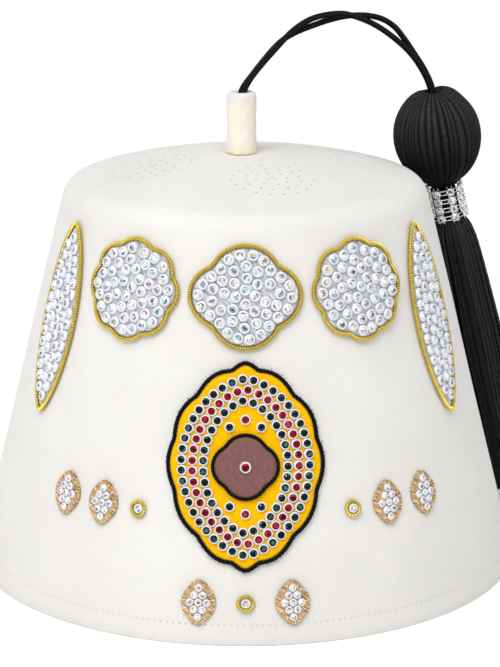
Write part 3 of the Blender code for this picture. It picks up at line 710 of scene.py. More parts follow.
cords = {
    "diameter": 0.0021,
    "spacing": 0.00016,
    "sides": 20,
    "strands": 6,
    "lay": 0.0052,
    "depth": 0.16,
    # distance from the cap's axis in the tassel's plane, and height
    "front": (
        (-0.0014, 0.1560),
        (-0.0014, 0.1605),
        (-0.0010, 0.1648),
        (0.0024, 0.1702),
        (0.0098, 0.1779),
        (0.0173, 0.1847),
        (0.0249, 0.1885),
        (0.0341, 0.1895),
        (0.0403, 0.1882),
        (0.0481, 0.1848),
        (0.0560, 0.1794),
        (0.0624, 0.1735),
        (0.0672, 0.1668),
        (0.0696, 0.1616),
        (0.0705, 0.1576),
    ),
    "back": (
        (-0.0014, 0.1560),
        (-0.0014, 0.1605),
        (-0.0008, 0.1648),
        (0.0030, 0.1698),
        (0.0116, 0.1790),
        (0.0181, 0.1831),
        (0.0272, 0.1860),
        (0.0341, 0.1876),
        (0.0403, 0.1882),
        (0.0465, 0.1878),
        (0.0520, 0.1863),
        (0.0567, 0.1833),
        (0.0607, 0.1787),
        (0.0642, 0.1739),
        (0.0681, 0.1683),
        (0.0712, 0.1624),
        (0.0724, 0.1576),
    ),
    "offsets": {"front": -0.00125, "back": 0.00125},  # across the plane
}


# A smooth curve through chosen points
def curveThrough(chosen, spacing):
    chosen = np.array(chosen)
    ends = np.concatenate([[2 * chosen[0] - chosen[1]], chosen, [2 * chosen[-1] - chosen[-2]]])
    t = np.arange(0, 1, 0.05)[:, None]
    fine = []
    for before, start, stop, after in zip(ends, ends[1:], ends[2:], ends[3:]):
        bend = 2 * before - 5 * start + 4 * stop - after
        twist = 3 * start - before - 3 * stop + after
        fine += list(start + 0.5 * ((stop - before) * t + bend * t**2 + twist * t**3))
    return evenly([*fine, chosen[-1]], spacing)


def makeCord(which):
    chosen = [(reach, cords["offsets"][which], height) for reach, height in cords[which]]
    route = curveThrough(chosen, cords["spacing"])
    across = np.tile((0.0, 1.0, 0.0), (len(route), 1))
    up = unit(np.cross(tangentsOf(route), across))
    relief = braided(cords["strands"], cords["lay"], cords["depth"])
    size = cords["diameter"]
    tray = MeshTray()
    addTube(tray, route, across, up, size, size, cords["sides"], relief)
    tray.move(tasselPlane)
    cord = finishPiece(tray, f"braided_cord_{which}", ["cordYarn"], "black_yarn", f"hanging_cord_{which}")


makeCord("front")
makeCord("back")
print("cords made")

cap = {
    "sides": 192,
    "outerSteps": (46, 10, 26),  # up the side, round the shoulder and over the crown
    "innerSteps": (16, 5, 12),
    "edgeRound": 0.0004,
    "unevenness": 0.00014,
    "ventClusters": 4,
    "ventReach": 0.0328,
    "ventRadius": 0.0135,
    "ventFirst": math.radians(-74.0),
    "ventWidth": 0.0009,
    "ventRings": (18, 13, 8, 3),
    "ventSides": 10,
    "ventDrift": 0.0004,
    "sharpFrom": math.radians(50.0),
}


def capProfile(inset, sideSteps, shoulderSteps, domeSteps):
    low = hat["rimRadius"] - inset / math.cos(sideLean)
    edge = cap["edgeRound"]
    inward = edge if inset == 0 else -edge
    points = [(low - inward, 0.0), (low - 0.3 * inward, 0.3 * edge), (low, edge)]
    reach = hat["shoulderRadius"] - inset
    top = (shoulderCentre[0] + reach * math.cos(sideLean), shoulderCentre[1] + reach * math.sin(sideLean))
    for step in range(1, sideSteps):
        share = step / sideSteps
        points.append((low + (top[0] - low) * share, edge + (top[1] - edge) * share))
    for step in range(shoulderSteps + 1):
        angle = sideLean + (math.pi / 2 - domeEdge - sideLean) * step / shoulderSteps
        out, up = reach * math.cos(angle), reach * math.sin(angle)
        points.append((shoulderCentre[0] + out, shoulderCentre[1] + up))
    for step in range(domeSteps - 1, -1, -1):
        angle = domeEdge * step / domeSteps
        reach = domeRadius - inset
        points.append((reach * math.sin(angle), hat["height"] - domeRadius + reach * math.cos(angle)))
    return points


def feltWobble(radius, height, theta):
    size = cap["unevenness"]
    for row in range(radius.shape[0]):
        for side, turn in enumerate(theta[0]):
            place = Vector((math.cos(turn), math.sin(turn), height[row, side] * 12)) * 2.2
            drift = noise.noise(place) + 0.5 * noise.noise(place * 2.7)
            if height[row, side] > 0.001:
                radius[row, side] += size * drift * min(1.0, radius[row, side] / 0.02)
    return radius, height


def ventPlaces():
    places = []
    rings = len(cap["ventRings"])
    for cluster in range(cap["ventClusters"]):
        clusterTurn = cap["ventFirst"] + 2 * math.pi * cluster / cap["ventClusters"]
        middle = Vector((math.cos(clusterTurn), math.sin(clusterTurn))) * cap["ventReach"]
        for ring, count in enumerate(cap["ventRings"]):
            radius = cap["ventRadius"] * (rings - 0.7 - ring) / (rings - 0.7)
            for hole in range(count):
                turn = 2 * math.pi * (hole + 0.5 * (ring % 2)) / count + clusterTurn
                drift = Vector((dice.uniform(-1, 1), dice.uniform(-1, 1))) * cap["ventDrift"]
                places.append(middle + Vector((math.cos(turn), math.sin(turn))) * radius + drift)
    return places


def makeVentPins():
    tray = MeshTray()
    low, sides = shoulderCentre[1], cap["ventSides"]
    theta = turnsOf(sides)
    for place in ventPlaces():
        radius = cap["ventWidth"] / 2 * dice.uniform(0.75, 1.15)
        ring = np.stack([place.x + radius * np.cos(theta), place.y + radius * np.sin(theta)], axis=1)
        rings = [np.column_stack([ring, np.full(sides, level)]) for level in (low, low + 2 * domeDepth)]
        tray.add(np.concatenate(rings), cappedFaces(2, sides))
    return tray.makeObject("vent_pins", [])


def makeCap():
    outer = capProfile(0.0, *cap["outerSteps"])
    inner = capProfile(hat["wall"], *cap["innerSteps"])
    tray = MeshTray()
    addTurned(tray, outer, cap["sides"], wobble=feltWobble)
    addTurned(tray, inner[::-1] + outer[:1], cap["sides"])
    piece = tray.makeObject("felt_body", [finishes["whiteFelt"]])
    weld(piece)
    pins = makeVentPins()
    cut = piece.modifiers.new("vents", "BOOLEAN")
    cut.operation = "DIFFERENCE"
    cut.solver = "EXACT"
    cut.object = pins
    bpy.context.view_layer.update()
    evaluated = piece.evaluated_get(bpy.context.evaluated_depsgraph_get())
    mesh = bpy.data.meshes.new_from_object(evaluated)
    piece.modifiers.clear()
    piece.data = mesh
    mesh.shade_smooth()
    mesh.set_sharp_from_angle(angle=cap["sharpFrom"])
    bpy.data.objects.remove(pins)
    seat(piece, "white_felt", "felt_cap")


def makeRimStitches():
    tray = MeshTray()
    share = np.array([-0.5, -0.42, -0.2, 0.2, 0.42, 0.5])
    girth = np.array([0.25, 0.75, 1.0, 1.0, 0.75, 0.25]) * stitches["thick"]
    for stitch in range(stitchCount):
        turn = 2 * math.pi * (stitch + 0.5 * (stitchCount % 4 / 2)) / stitchCount
        drift = dice.uniform(-1, 1) * stitches["drift"]
        path = onSide(turn, stitches["height"], share * stitches["length"], drift, stitches["lift"])
        up, outward = sideAxes(np.full(len(share), turn))[1:]
        addTube(tray, path, up, outward, girth, girth, stitches["sides"])
    finishPiece(tray, "rim_stitches", ["whiteThread"], "white_felt")


makeCap()
makeRimStitches()
print("felt cap made")


def stemWobble(radius, height, theta):
    theta = np.repeat(theta, radius.shape[0], axis=0)
    slow, quick = stem["waves"]
    drift = slow * np.sin(3 * theta + height * 400) + quick * np.sin(7 * theta - height * 900)
    foot = stem["footWaves"] * np.exp(-height / 0.0008) * (np.sin(5 * theta) + np.sin(8 * theta + 1.0))
    oval = 1 - stem["squeeze"] * np.cos(theta) ** 2 * (height > stem["height"] / 2)
    return np.where(radius > 1.1 * stem["boreRadius"], radius + drift + foot, radius * oval), height


def makeStem():
    top, radius, edge, flare = stem["height"], stem["radius"], stem["edge"], stem["flare"]
    profile = [(0.0, 0.0), (radius + flare, -0.0002), (radius + 0.4 * flare, 0.0005)]
    for share in np.arange(1, 24) / 24:
        swell = stem["swell"] * math.cos(share * 7)
        profile.append((radius + swell, 0.001 + (top - 0.001 - edge) * share))
    for angle in np.linspace(0, math.pi / 2, 7):
        profile.append((radius - edge * (1 - math.cos(angle)), top - edge * (1 - math.sin(angle))))
    bore, floor = stem["boreRadius"], top - stem["boreDepth"]
    profile += [(bore + 0.0005, top - 0.0001), (bore, top - 0.0005), (0.8 * bore, floor), (0.0, floor)]
    tray = MeshTray()
    place = tasselPlane @ Matrix.Translation((-stem["shift"], 0.0, hat["height"] + hat["seatGap"]))
    addTurned(tray, profile, stem["sides"], place, wobble=stemWobble)
    finishPiece(tray, "felt_stem", ["creamFelt"], "cream_felt", "crown_stem", welded=True)


makeStem()
print("stem made")

ball = {
    "radius": 0.0156,
    "swell": 0.0007,
    "topHeight": 0.0172,
    "footRadius": 0.0055,
    "restAngle": math.radians(42.5),
    "pitRadius": 0.0036,
    "lip": 0.0010,
    "dimple": 0.0020,  # seen depth of the pit, where the yarn closes round the cords
    "tuck": 0.0008,  # into the collar
    "ribs": 44,
    "sidesPerRib": 8,
    "ribDepth": 0.0009,
    "hump": 0.0008,
    "step": 0.00024,
    "ribWaves": ((3, 0.40), (7, 0.28), (12, 0.16)),  # waves round the ball and their size in ribs
    "ribDepths": (0.45, 0.7, 1.0, 1.4),
}
collar = {
    "drop": 0.0124,
    "hangDistance": 0.0117,
    "height": 0.0128,
    "innerRadius": 0.0057,
    "wall": 0.0007,
    "columns": 8,
    "rows": 4,
    "firstColumn": math.radians(-4.5),
    "stoneRadius": 0.00158,
    "wire": 0.00032,
    "wireSides": 6,
    "rowWires": 0.00078,  # each wire's distance from its row's middle
    "rowWave": 0.00014,
    "columnWires": 0.13,  # turn between a column and its wires
    "wireEnds": 0.0006,
    "prongWidth": 0.0005,
    "prongThick": 0.0003,
}


def collarMiddle():
    height = sideTop - collar["drop"] * math.cos(sideLean)
    reach = collar["hangDistance"]
    return Vector((sideRadius(height) + reach * math.cos(sideLean), height + reach * math.sin(sideLean)))


def ballMiddle():
    reach = hat["shoulderRadius"] + hat["seatGap"] + ball["swell"] + ball["radius"]
    towards = Vector((math.cos(ball["restAngle"]), math.sin(ball["restAngle"])))
    return Vector(shoulderCentre) + towards * reach


def collarTop():
    return collarMiddle() + Vector((-math.sin(sideLean), math.cos(sideLean))) * (collar["height"] / 2)


def planePlace(middle, lean):
    shift = Matrix.Translation((middle.x, 0.0, middle.y))
    return tasselPlane @ shift @ Matrix.Rotation(-lean, 4, "Y")


# The ball from its foot, tucked into the collar, up to the pit round the cords
def ballProfile(foot):
    radius, lip, pit = ball["radius"], ball["lip"], ball["pitRadius"]
    footAngle = math.acos(ball["footRadius"] / radius)
    mouthAngle = math.acos((pit + lip) / radius)
    tuck = -foot - ball["tuck"]
    profile = [(ball["footRadius"] - 0.0012, tuck), (ball["footRadius"] - 0.0001, tuck)]
    for angle in footAngle * np.linspace(1, 0, 60, endpoint=False):
        profile.append((radius * math.cos(angle), -foot * math.sin(angle) / math.sin(footAngle)))
    for angle in mouthAngle * np.linspace(0, 1, 60):
        profile.append((radius * math.cos(angle), ball["topHeight"] * math.sin(angle)))
    mouth = profile[-1][1]
    for angle in np.linspace(0.2, math.pi / 2, 6):
        profile.append((pit + lip * (1 - math.sin(angle)), mouth - lip * (1 - math.cos(angle))))
    for share in np.linspace(0.1, 1, 10):
        profile.append((pit * (1 - 0.75 * share), mouth - lip - (ball["dimple"] - lip) * share))
    return evenly(profile, ball["step"]), mouth


def makeBall():
    drop = collarTop() - ballMiddle()
    lean = math.atan2(drop.x, -drop.y)
    collarReach = collar["innerRadius"] + collar["wall"]
    foot = drop.length - hat["seatGap"] - collarReach * math.tan(abs(sideLean - lean))
    profile, mouth = ballProfile(foot)
    ribs = ball["ribs"]
    sides = ribs * ball["sidesPerRib"]
    theta = 2 * np.pi * np.arange(sides + 1) / sides
    run = lengthsAlong(profile)[:, None]
    radius, height = profile[:, :1], profile[:, 1:]
    phase = np.repeat(ribs * theta[None, :] / (2 * np.pi), len(profile), axis=0)
    for waves, size in ball["ribWaves"]:
        phase += size * np.sin(waves * theta[None, :] + dice.uniform(0, 6) + run * dice.uniform(-40, 40))
    across = 2 * np.abs((phase + 0.5) % 1 - 0.5)
    grooves = np.array([dice.choice(ball["ribDepths"]) for rib in range(ribs)])
    full = np.clip(radius / ball["radius"], 0, 1)
    depth = ball["ribDepth"] * (0.3 + 0.7 * full) * grooves[np.floor(phase).astype(int) % ribs]
    surface = radius - depth * across**2.4
    rise = np.exp(-(((height - mouth + 0.0012) / 0.0022) ** 2))
    lifted = height + ball["hump"] * rise * (0.8 * np.cos(2 * theta)[None, :] + 0.1)
    points = np.stack([surface * np.cos(theta), surface * np.sin(theta), lifted], axis=-1)
    rowCorners, sideCorners = ringFaces(len(profile), sides)[1:]
    uvs = np.stack([phase[rowCorners, sideCorners] / ribs, run[:, 0][rowCorners] * 1000], axis=-1)
    tray = MeshTray()
    points = placed(points[:, :sides].reshape(-1, 3), planePlace(ballMiddle(), lean))
    tray.add(points, cappedFaces(len(profile), sides), 0, True, cappedUvs(uvs, sides))
    finishPiece(tray, "knitted_ball", ["ballYarn"], "black_yarn", "tassel_ball")


makeBall()
print("ball made")

stoneShape = {
    "cupSides": 14,
    "cupHeight": 0.62,
    "crystal": 0.58,
    "wideCrystal": 0.68,
    "lean": math.radians(4.0),
    "strays": 0.3,
}


# A round cut stone of girdle radius 1 on z 0: its points and faces
def crystalTemplate():
    points = []
    rings = ((0.52, 0.42, 8, 0.0), (0.80, 0.27, 8, 0.5), (1.0, 0.0, 16, 0.0), (0.8, -0.12, 16, 0.0))
    for radius, height, count, offset in rings:
        for corner in range(count):
            turn = 2 * math.pi * (corner + offset) / count
            points.append((radius * math.cos(turn), radius * math.sin(turn), height))
    middle, girdle, back = 8, 16, 32
    faces = [list(range(8))]
    for corner in range(8):
        before, after, rim = (corner - 1) % 8, (corner + 1) % 8, girdle + 2 * corner
        faces.append([corner, middle + corner, after])
        faces.append([corner, middle + before, rim, middle + corner])
        faces.append([middle + corner, rim, rim + 1])
        faces.append([middle + corner, rim + 1, girdle + (2 * corner + 2) % 16])
    for corner in range(16):
        after = (corner + 1) % 16
        faces.append([girdle + corner, back + corner, back + after, girdle + after])
    faces.append([back + corner for corner in range(16)][::-1])
    return np.array(points), faces


# A cup of radius 1: a low wall with a rounded lip round the stone
def cupTemplate(sides, inner):
    top = stoneShape["cupHeight"]
    lip = (inner + 1) / 2
    profile = (
        (0.86, 0.0),
        (1.00, 0.12 * top),
        (0.99, 0.38 * top),
        (0.93, 0.66 * top),
        (lip + 0.03, 0.88 * top),
        (lip - 0.06, top),
        (inner + 0.03, 0.95 * top),
        (inner - 0.01, 0.72 * top),
    )
    return spun(profile, sides), cappedFaces(len(profile), sides)


crystalPoints, crystalFaces = crystalTemplate()
cups = {size: cupTemplate(stoneShape["cupSides"], stoneShape[size]) for size in ("crystal", "wideCrystal")}
facetMiddles = [crystalPoints[face].mean(axis=0) for face in crystalFaces]


# Tints of one stone's facets, which choose its painted reflections: alike where they face the same way, with
# a few strays
def facetTints(spread):
    base = dice.random()
    phase = dice.uniform(0, 2 * math.pi)
    tints = []
    for middle in facetMiddles:
        slope = middle[0] * math.cos(phase) + middle[1] * math.sin(phase)
        stray = dice.uniform(-1, 1) if dice.random() < stoneShape["strays"] else 0.2 * dice.uniform(-1, 1)
        tints.append((base + spread * (slope + stray)) % 1.0)
    return tints


# A stone in its cup, on a placement whose z axis points out of the felt
def addStone(tray, place, cupRadius, cupFinish, stoneFinish, spread=0.45, kind="crystal"):
    for axis in ("X", "Y"):
        place = place @ Matrix.Rotation(stoneShape["lean"] * dice.uniform(-1, 1), 4, axis)
    place = place @ Matrix.Rotation(dice.uniform(0, math.pi), 4, "Z")
    cupPoints, cupFaces = cups[kind]
    tray.add(placed(cupPoints * cupRadius, place), cupFaces, cupFinish, True)
    size = cupRadius * stoneShape[kind]
    lifted = crystalPoints * size + (0, 0, cupRadius * stoneShape["cupHeight"] * 0.86)
    tray.add(placed(lifted, place), crystalFaces, stoneFinish, False, None, facetTints(spread))


def sidePlace(angle, height, across, up, lift):
    origin = onSide(angle, height, across, up, lift)
    turn = angle + across / sideRadius(height + up * math.cos(sideLean))
    right, upward, outward = sideAxes(turn)
    return Matrix([[*row, 0.0] for row in (right, upward, outward)] + [[*origin, 1.0]]).transposed()


def makeCollar():
    outer = collar["innerRadius"] + collar["wall"]
    half = collar["height"] / 2
    wires, crystals = MeshTray(), MeshTray()
    wire, sides = collar["wire"], collar["wireSides"]
    columns = collar["firstColumn"] + turnsOf(collar["columns"])
    theta = turnsOf(96)
    ring = np.stack([np.cos(theta), np.sin(theta), 0 * theta], axis=1)
    upward = np.tile((0.0, 0.0, 1.0), (len(theta), 1))
    for row in range(collar["rows"]):
        middle = collar["height"] * (row + 0.5) / collar["rows"] - half
        for sign in (-1, 1):
            wave = collar["rowWave"] * np.cos(collar["columns"] * (theta - collar["firstColumn"]))
            level = middle + sign * (collar["rowWires"] + wave)
            path = ring * (outer - 0.00005) + np.stack([0 * theta, 0 * theta, level], axis=1)
            addTube(wires, path, ring, upward, wire, wire, sides, closed=True)
        for turn in columns:
            spot = Matrix.Rotation(turn, 4, "Z") @ Matrix.Translation((outer - 0.0004, 0, middle))
            spot = spot @ Matrix.Rotation(math.pi / 2, 4, "Y")
            addStone(crystals, spot, collar["stoneRadius"], 0, 1, 0.5)
            for corner in range(4):
                addProng(wires, spot, math.pi / 4 + math.pi / 2 * corner)
    levels = np.linspace(-half - collar["wireEnds"], half + collar["wireEnds"], 12)
    for turn in columns:
        for side in (turn - collar["columnWires"], turn + collar["columnWires"]):
            out = np.tile((math.cos(side), math.sin(side), 0.0), (12, 1))
            path = out * (outer - 0.0001) + np.stack([0 * levels, 0 * levels, levels], axis=1)
            sideways = np.tile((-math.sin(side), math.cos(side), 0.0), (12, 1))
            addTube(wires, path, out, sideways, wire, wire, sides)
    for tray in (wires, crystals):
        tray.move(planePlace(collarMiddle(), sideLean))
    finishPiece(wires, "collar_wire_mesh", ["silverWire"], "silver_crystal", "crystal_collar")
    layers = ("silverWire", "collarStone")
    finishPiece(crystals, "collar_crystals", layers, "silver_crystal", "crystal_collar")


# A small claw bent over a stone's edge
def addProng(tray, spot, angle):
    radius = collar["stoneRadius"]
    reach = np.array([0.98, 1.04, 0.98, 0.74]) * radius
    levels = np.array([0.05, 0.45, 0.80, 0.86]) * radius
    path = np.stack([reach * math.cos(angle), reach * math.sin(angle), levels], axis=1)
    across = np.tile((-math.sin(angle), math.cos(angle), 0.0), (4, 1))
    up = unit(np.cross(tangentsOf(path), across))
    across, up = (directions @ np.array(spot)[:3, :3].T for directions in (across, up))
    addTube(tray, placed(path, spot), across, up, collar["prongWidth"], collar["prongThick"], 5)


makeCollar()
print("collar made")

skirt = {
    "neckRadius": 0.0052,
    "halfDepth": 0.0113,
    "halfWidth": 0.0126,
    "floorClearance": 0.005,
    "strand": 0.0019,
    "rings": ((40, 1.0, 10), (28, 0.70, 7), (16, 0.40, 6)),  # strands, share of the way out, sides
    "rowStep": 0.0009,
    "sway": 0.0005,
    "strands": 3,
    "lay": 0.0066,
    "depth": 0.22,
    "unevenTips": 3.2,  # spread of the strands' ends, in rows
    # length down the skirt, then depth and width as shares of the half sizes
    "sections": (
        (0.00, 0.53, 0.49),
        (0.03, 0.72, 0.66),
        (0.08, 0.81, 0.75),
        (0.16, 0.86, 0.82),
        (0.40, 1.00, 0.93),
        (0.72, 1.00, 0.98),
        (1.00, 0.98, 1.00),
    ),
}


# Rolling mean over an open run, or over a loop with the mode wrap
def softened(values, width, mode="edge"):
    kernel = np.hanning(width)
    return np.convolve(np.pad(values, width // 2, mode=mode), kernel / kernel.sum(), mode="valid")


def makeSkirt():
    middle = collarMiddle()
    hang = collar["hangDistance"]
    tip = -(middle.y - skirt["floorClearance"] - hang * math.sin(sideLean)) / math.cos(sideLean)
    start = -collar["height"] / 2 - hat["seatGap"]
    levels = np.arange(collar["height"] / 2 - 0.0008, tip, -skirt["rowStep"])
    share = (start - levels) / (start - tip)
    table = np.array(skirt["sections"])
    halves = []
    for column, half in ((1, skirt["halfDepth"]), (2, skirt["halfWidth"])):
        spread = np.interp(share, table[:, 0], table[:, column]) * half
        halves.append(softened(np.where(share > 0, spread, skirt["neckRadius"]), 9))
    depth, width = halves
    offset = np.maximum(hat["layerGap"], hang - depth) + depth - hang
    thick = skirt["strand"]
    grow = np.clip(share, 0, 1) ** 0.7
    relief = braided(skirt["strands"], skirt["lay"], skirt["depth"])
    tray = MeshTray()
    for count, out, sides in skirt["rings"]:
        for strand in range(count):
            turn = 2 * math.pi * (strand + dice.uniform(-0.3, 0.3)) / count
            bundle = 0.05 * math.sin(7 * turn + 1.0) + 0.04 * math.sin(11 * turn + 4.0) - 0.09
            spread = out + bundle + dice.uniform(-0.04, 0.0)
            phase = dice.uniform(0, 2 * math.pi)
            sway = skirt["sway"] * grow * np.sin(2 * math.pi * share * dice.uniform(1.0, 2.2) + phase)
            x = offset + (depth - thick / 2) * spread * math.cos(turn) - sway * math.sin(turn) * 0.8
            y = (width - thick / 2) * spread * math.sin(turn) + sway * math.cos(turn)
            x = np.maximum(x, -hang + hat["layerGap"] + thick / 2)
            end = len(levels) - int(abs(dice.gauss(0, skirt["unevenTips"]))) - 1
            path = np.stack([x, y, levels], axis=1)[: max(end, 10)]
            girth = thick * (0.62 + 0.38 * np.clip(share[: len(path)] * 12, 0, 1))
            girth[-1] *= 0.55
            facing = np.tile((-math.cos(phase), -math.sin(phase), -0.2), (len(path), 1))
            addRun(tray, path, facing, girth, girth, sides, relief=relief)
    tray.move(planePlace(middle, sideLean))
    finishPiece(tray, "tassel_strands", ["skirtYarn"], "black_yarn", "tassel_skirt")


makeSkirt()
print("skirt made")

patchShapes = {
    "leaf": {"halfWidth": 0.0088, "halfHeight": 0.0310, "point": 1.5, "scallops": 0, "depth": 0.0},
    "rosette": {"halfWidth": 0.0155, "halfHeight": 0.0155, "point": 1.0, "scallops": 8, "depth": 0.10},
    "quatrefoil": {"halfWidth": 0.0168, "halfHeight": 0.0155, "point": 1.0, "scallops": 4, "depth": 0.20},
    "floret": {"halfWidth": 0.0054, "halfHeight": 0.0072, "point": 1.15, "scallops": 4, "depth": 0.10},
    "medallion": {"halfWidth": 0.0242, "halfHeight": 0.0326, "point": 1.3, "scallops": 12, "depth": 0.05},
}
valleySoftness = 0.15


# Closed outline, anticlockwise from its right end, evenly spaced and moved out by an offset
def outlineOf(shape, spacing, offset=0.0):
    t = np.linspace(0, 2 * np.pi, 1440, endpoint=False)
    lobes = np.sqrt(np.cos(shape["scallops"] * t / 2) ** 2 + valleySoftness**2)
    lobes /= math.hypot(1, valleySoftness)
    swell = 1 - shape["depth"] * (1 - lobes)
    reach = np.sign(np.cos(t)) * np.abs(np.cos(t)) ** shape["point"]
    points = np.stack([shape["halfWidth"] * reach * swell, shape["halfHeight"] * np.sin(t) * swell], axis=1)
    if offset:
        along = unit(np.roll(points, -2, axis=0) - np.roll(points, 2, axis=0))
        points = points + offset * np.stack([along[:, 1], -along[:, 0]], axis=1)
    return evenly(points, spacing, closed=True)


# A backing of a shape, wrapped on the side, padded by some millimetres in its middle
def addBacking(tray, shape, angle, height, lift, puff=0.0):
    edge = outlineOf(shape, patchwork["backingStep"], patchwork["backingReach"])
    thick = patchwork["thick"]
    rings = [(0.0, lift), (0.5, lift), (1.0, lift), (1.0, lift + 0.7 * thick), (0.985, lift + 0.95 * thick)]
    for scale in (0.95, 0.88, 0.78, 0.66, 0.52, 0.36, 0.2, 0.0):
        rings.append((scale, lift + thick + puff * (1 - scale**4)))
    flat = np.concatenate([edge * max(scale, 0.001) for scale, level in rings])
    levels = np.repeat([level for scale, level in rings], len(edge))
    points = onSide(angle, height, flat[:, 0], flat[:, 1], levels)
    faces = cappedFaces(len(rings), len(edge))
    uvs = cappedUvs(flat[np.array(faces[:-2])] * 1000, len(edge))
    tray.add(points, faces, 0, True, uvs)


# A path over the felt and the outward direction at each of its points
def layOn(angle, height, flat, lift):
    path = onSide(angle, height, flat[:, 0], flat[:, 1], lift)
    return path, sideAxes(angle + flat[:, 0] / sideRadius(height))[2]


# A cord or coiled wire laid round an outline
def addEdging(tray, shape, angle, height, lift, width, tall, relief, spacing, sides):
    flat = outlineOf(shape, spacing, hat["seatGap"] + width / 2)
    flat = np.stack([softened(flat[:, axis], 9, "wrap") for axis in range(2)], axis=1)
    path, outward = layOn(angle, height, flat, lift + tall / 2)
    rows = spacing * np.arange(len(path))
    addRun(tray, path, outward, width, tall, sides, closed=True, relief=relief, rows=rows)


# How deep points lie inside an outline, negative outside it
def depthInside(edge, points):
    x, y = edge[:, 0], edge[:, 1]
    nextX, nextY = np.roll(x, -1), np.roll(y, -1)
    across, up = points[:, :1], points[:, 1:]
    crossing = (y > up) != (nextY > up)
    with np.errstate(divide="ignore", invalid="ignore"):
        meets = across < (nextX - x) * (up - y) / (nextY - y) + x
    inside = np.count_nonzero(crossing & meets, axis=1) % 2 == 1
    return np.where(inside, 1, -1) * np.hypot(x - across, y - up).min(axis=1)


setting = {
    "edgeStep": 0.0004,
    "gridStep": 0.0002,
    "company": 0.0006,  # how much a place beside stones already set is preferred
    "beside": 1.12,  # distances in pitches: to count as beside, the least, and the wanted one
    "least": 0.98,
    "wanted": 1.06,
    "ease": 0.2,
    "rounds": 60,
}


# Stones set by hand: first along the edge, then beside those already set, then eased apart
def setStones(shape, radius, pitch):
    edge = outlineOf(shape, setting["edgeStep"])
    wide, high, step = shape["halfWidth"], shape["halfHeight"], setting["gridStep"]
    grid = np.meshgrid(np.arange(-wide, wide, step), np.arange(-high, high, step))
    free = np.stack([axis.ravel() for axis in grid], axis=1)
    depth = depthInside(edge, free)
    free, depth = free[depth >= radius], depth[depth >= radius]
    beside = np.zeros(len(free))
    stones = []
    while len(free):
        chosen = free[np.argmin(depth - setting["company"] * beside)]
        stones.append(chosen)
        gaps = np.hypot(*(free - chosen).T)
        beside += gaps < setting["beside"] * pitch
        kept = gaps >= setting["least"] * pitch
        free, depth, beside = free[kept], depth[kept], beside[kept]
    stones = np.array(stones)
    for attempt in range(setting["rounds"]):
        apart = stones[:, None, :] - stones[None, :, :]
        gaps = np.linalg.norm(apart, axis=2)
        gaps[gaps == 0] = 1.0
        push = np.clip(setting["wanted"] * pitch - gaps, 0, None) / gaps
        moved = stones + setting["ease"] * (apart * push[..., None]).sum(axis=1)
        stones = np.where((depthInside(edge, moved) >= radius)[:, None], moved, stones)
    return stones.tolist()


def narrowed(shape, distance):
    smaller = dict(shape)
    smaller["halfWidth"] -= distance
    smaller["halfHeight"] -= distance
    return smaller


def makePatch(kind, side, angle, height):
    shape = patchShapes[kind]
    cup, lift, jitter = patchwork["cup"], hat["layerGap"], patchwork["jitter"]
    tray = MeshTray()
    addBacking(tray, shape, angle, height, lift)
    places = setStones(shape, cup * 0.96, patchwork["pitch"])
    for across, up in places:
        across += dice.uniform(-1, 1) * jitter
        up += dice.uniform(-1, 1) * jitter
        spot = sidePlace(angle, height, across, up, lift + patchwork["thick"] - patchwork["sink"])
        addStone(tray, spot, cup, 1, 2)
    layers = ("greyBacking", "whiteCup", "clearStone")
    name = f"{kind}_patch_{side}"
    finishPiece(tray, f"{kind}_stones_{side}", layers, "clear_stones", name, welded=True)
    edging = MeshTray()
    relief = twisted(1, patchwork["edgingLay"], patchwork["edgingDepth"])
    width, tall = patchwork["edgingWidth"] * patchwork["edgingSlim"], patchwork["edgingTall"]
    step, sides = patchwork["edgingStep"], patchwork["edgingSides"]
    addEdging(edging, shape, angle, height, lift, width, tall, relief, step, sides)
    finishPiece(edging, f"{kind}_purl_{side}", ["goldPurl"], "gold_purl", f"{kind}_edging_{side}")
    return len(places)


def makeUpperRow():
    margin = patchwork["rowMargin"] + hat["seatGap"] + patchwork["edgingWidth"]
    rowTop = sideTop - margin * math.cos(sideLean)
    count = 0
    for kind, side, angle in (
        ("leaf", "left", -patchwork["leafAngle"]),
        ("rosette", "left", -patchwork["rosetteAngle"]),
        ("quatrefoil", "front", 0.0),
        ("rosette", "right", patchwork["rosetteAngle"]),
        ("leaf", "right", patchwork["leafAngle"]),
    ):
        height = rowTop - patchShapes[kind]["halfHeight"] * math.cos(sideLean)
        count += makePatch(kind, side, angle, height)
    print("upper row made with", count, "stones")
    return rowTop - 2 * patchShapes["quatrefoil"]["halfHeight"] * math.cos(sideLean)


rowBottom = makeUpperRow()

medallion = {
    "margin": 0.0026,
    "cordWidth": 0.0015,
    "cordSlim": 0.9,
    "hair": 0.00015,
    "centreCordWidth": 0.0012,
    "cup": 0.00178,
    "pitch": 0.0035,
    "fieldMargin": 0.0008,
    "rowPitch": 0.0035,
    "rows": ("green", "red", "green"),
    "clearance": 0.0007,
    "spots": ((0.0, 0.0152, "red"), (0.0050, 0.0128, "green")),
    "sink": 0.0003,  # of the rows' cups into the satin
    "cord": (3, 0.0042, 0.22),  # plies, lay and depth
    "cordStep": 0.0003,
    "cordSides": 15,
    "centreCord": (3, 0.0036, 0.22),
    "centreStep": 0.00028,
    "centreSides": 12,
    "groundPuff": 0.0001,
    "centrePuff": 0.0003,
    "hairStep": 0.0009,
    "centreStone": 1.1,
    "centreDepth": 0.16,
    "spread": 0.42,
    "lowerRowHeight": 0.0135,
    "middleRowHeight": 0.041,
}


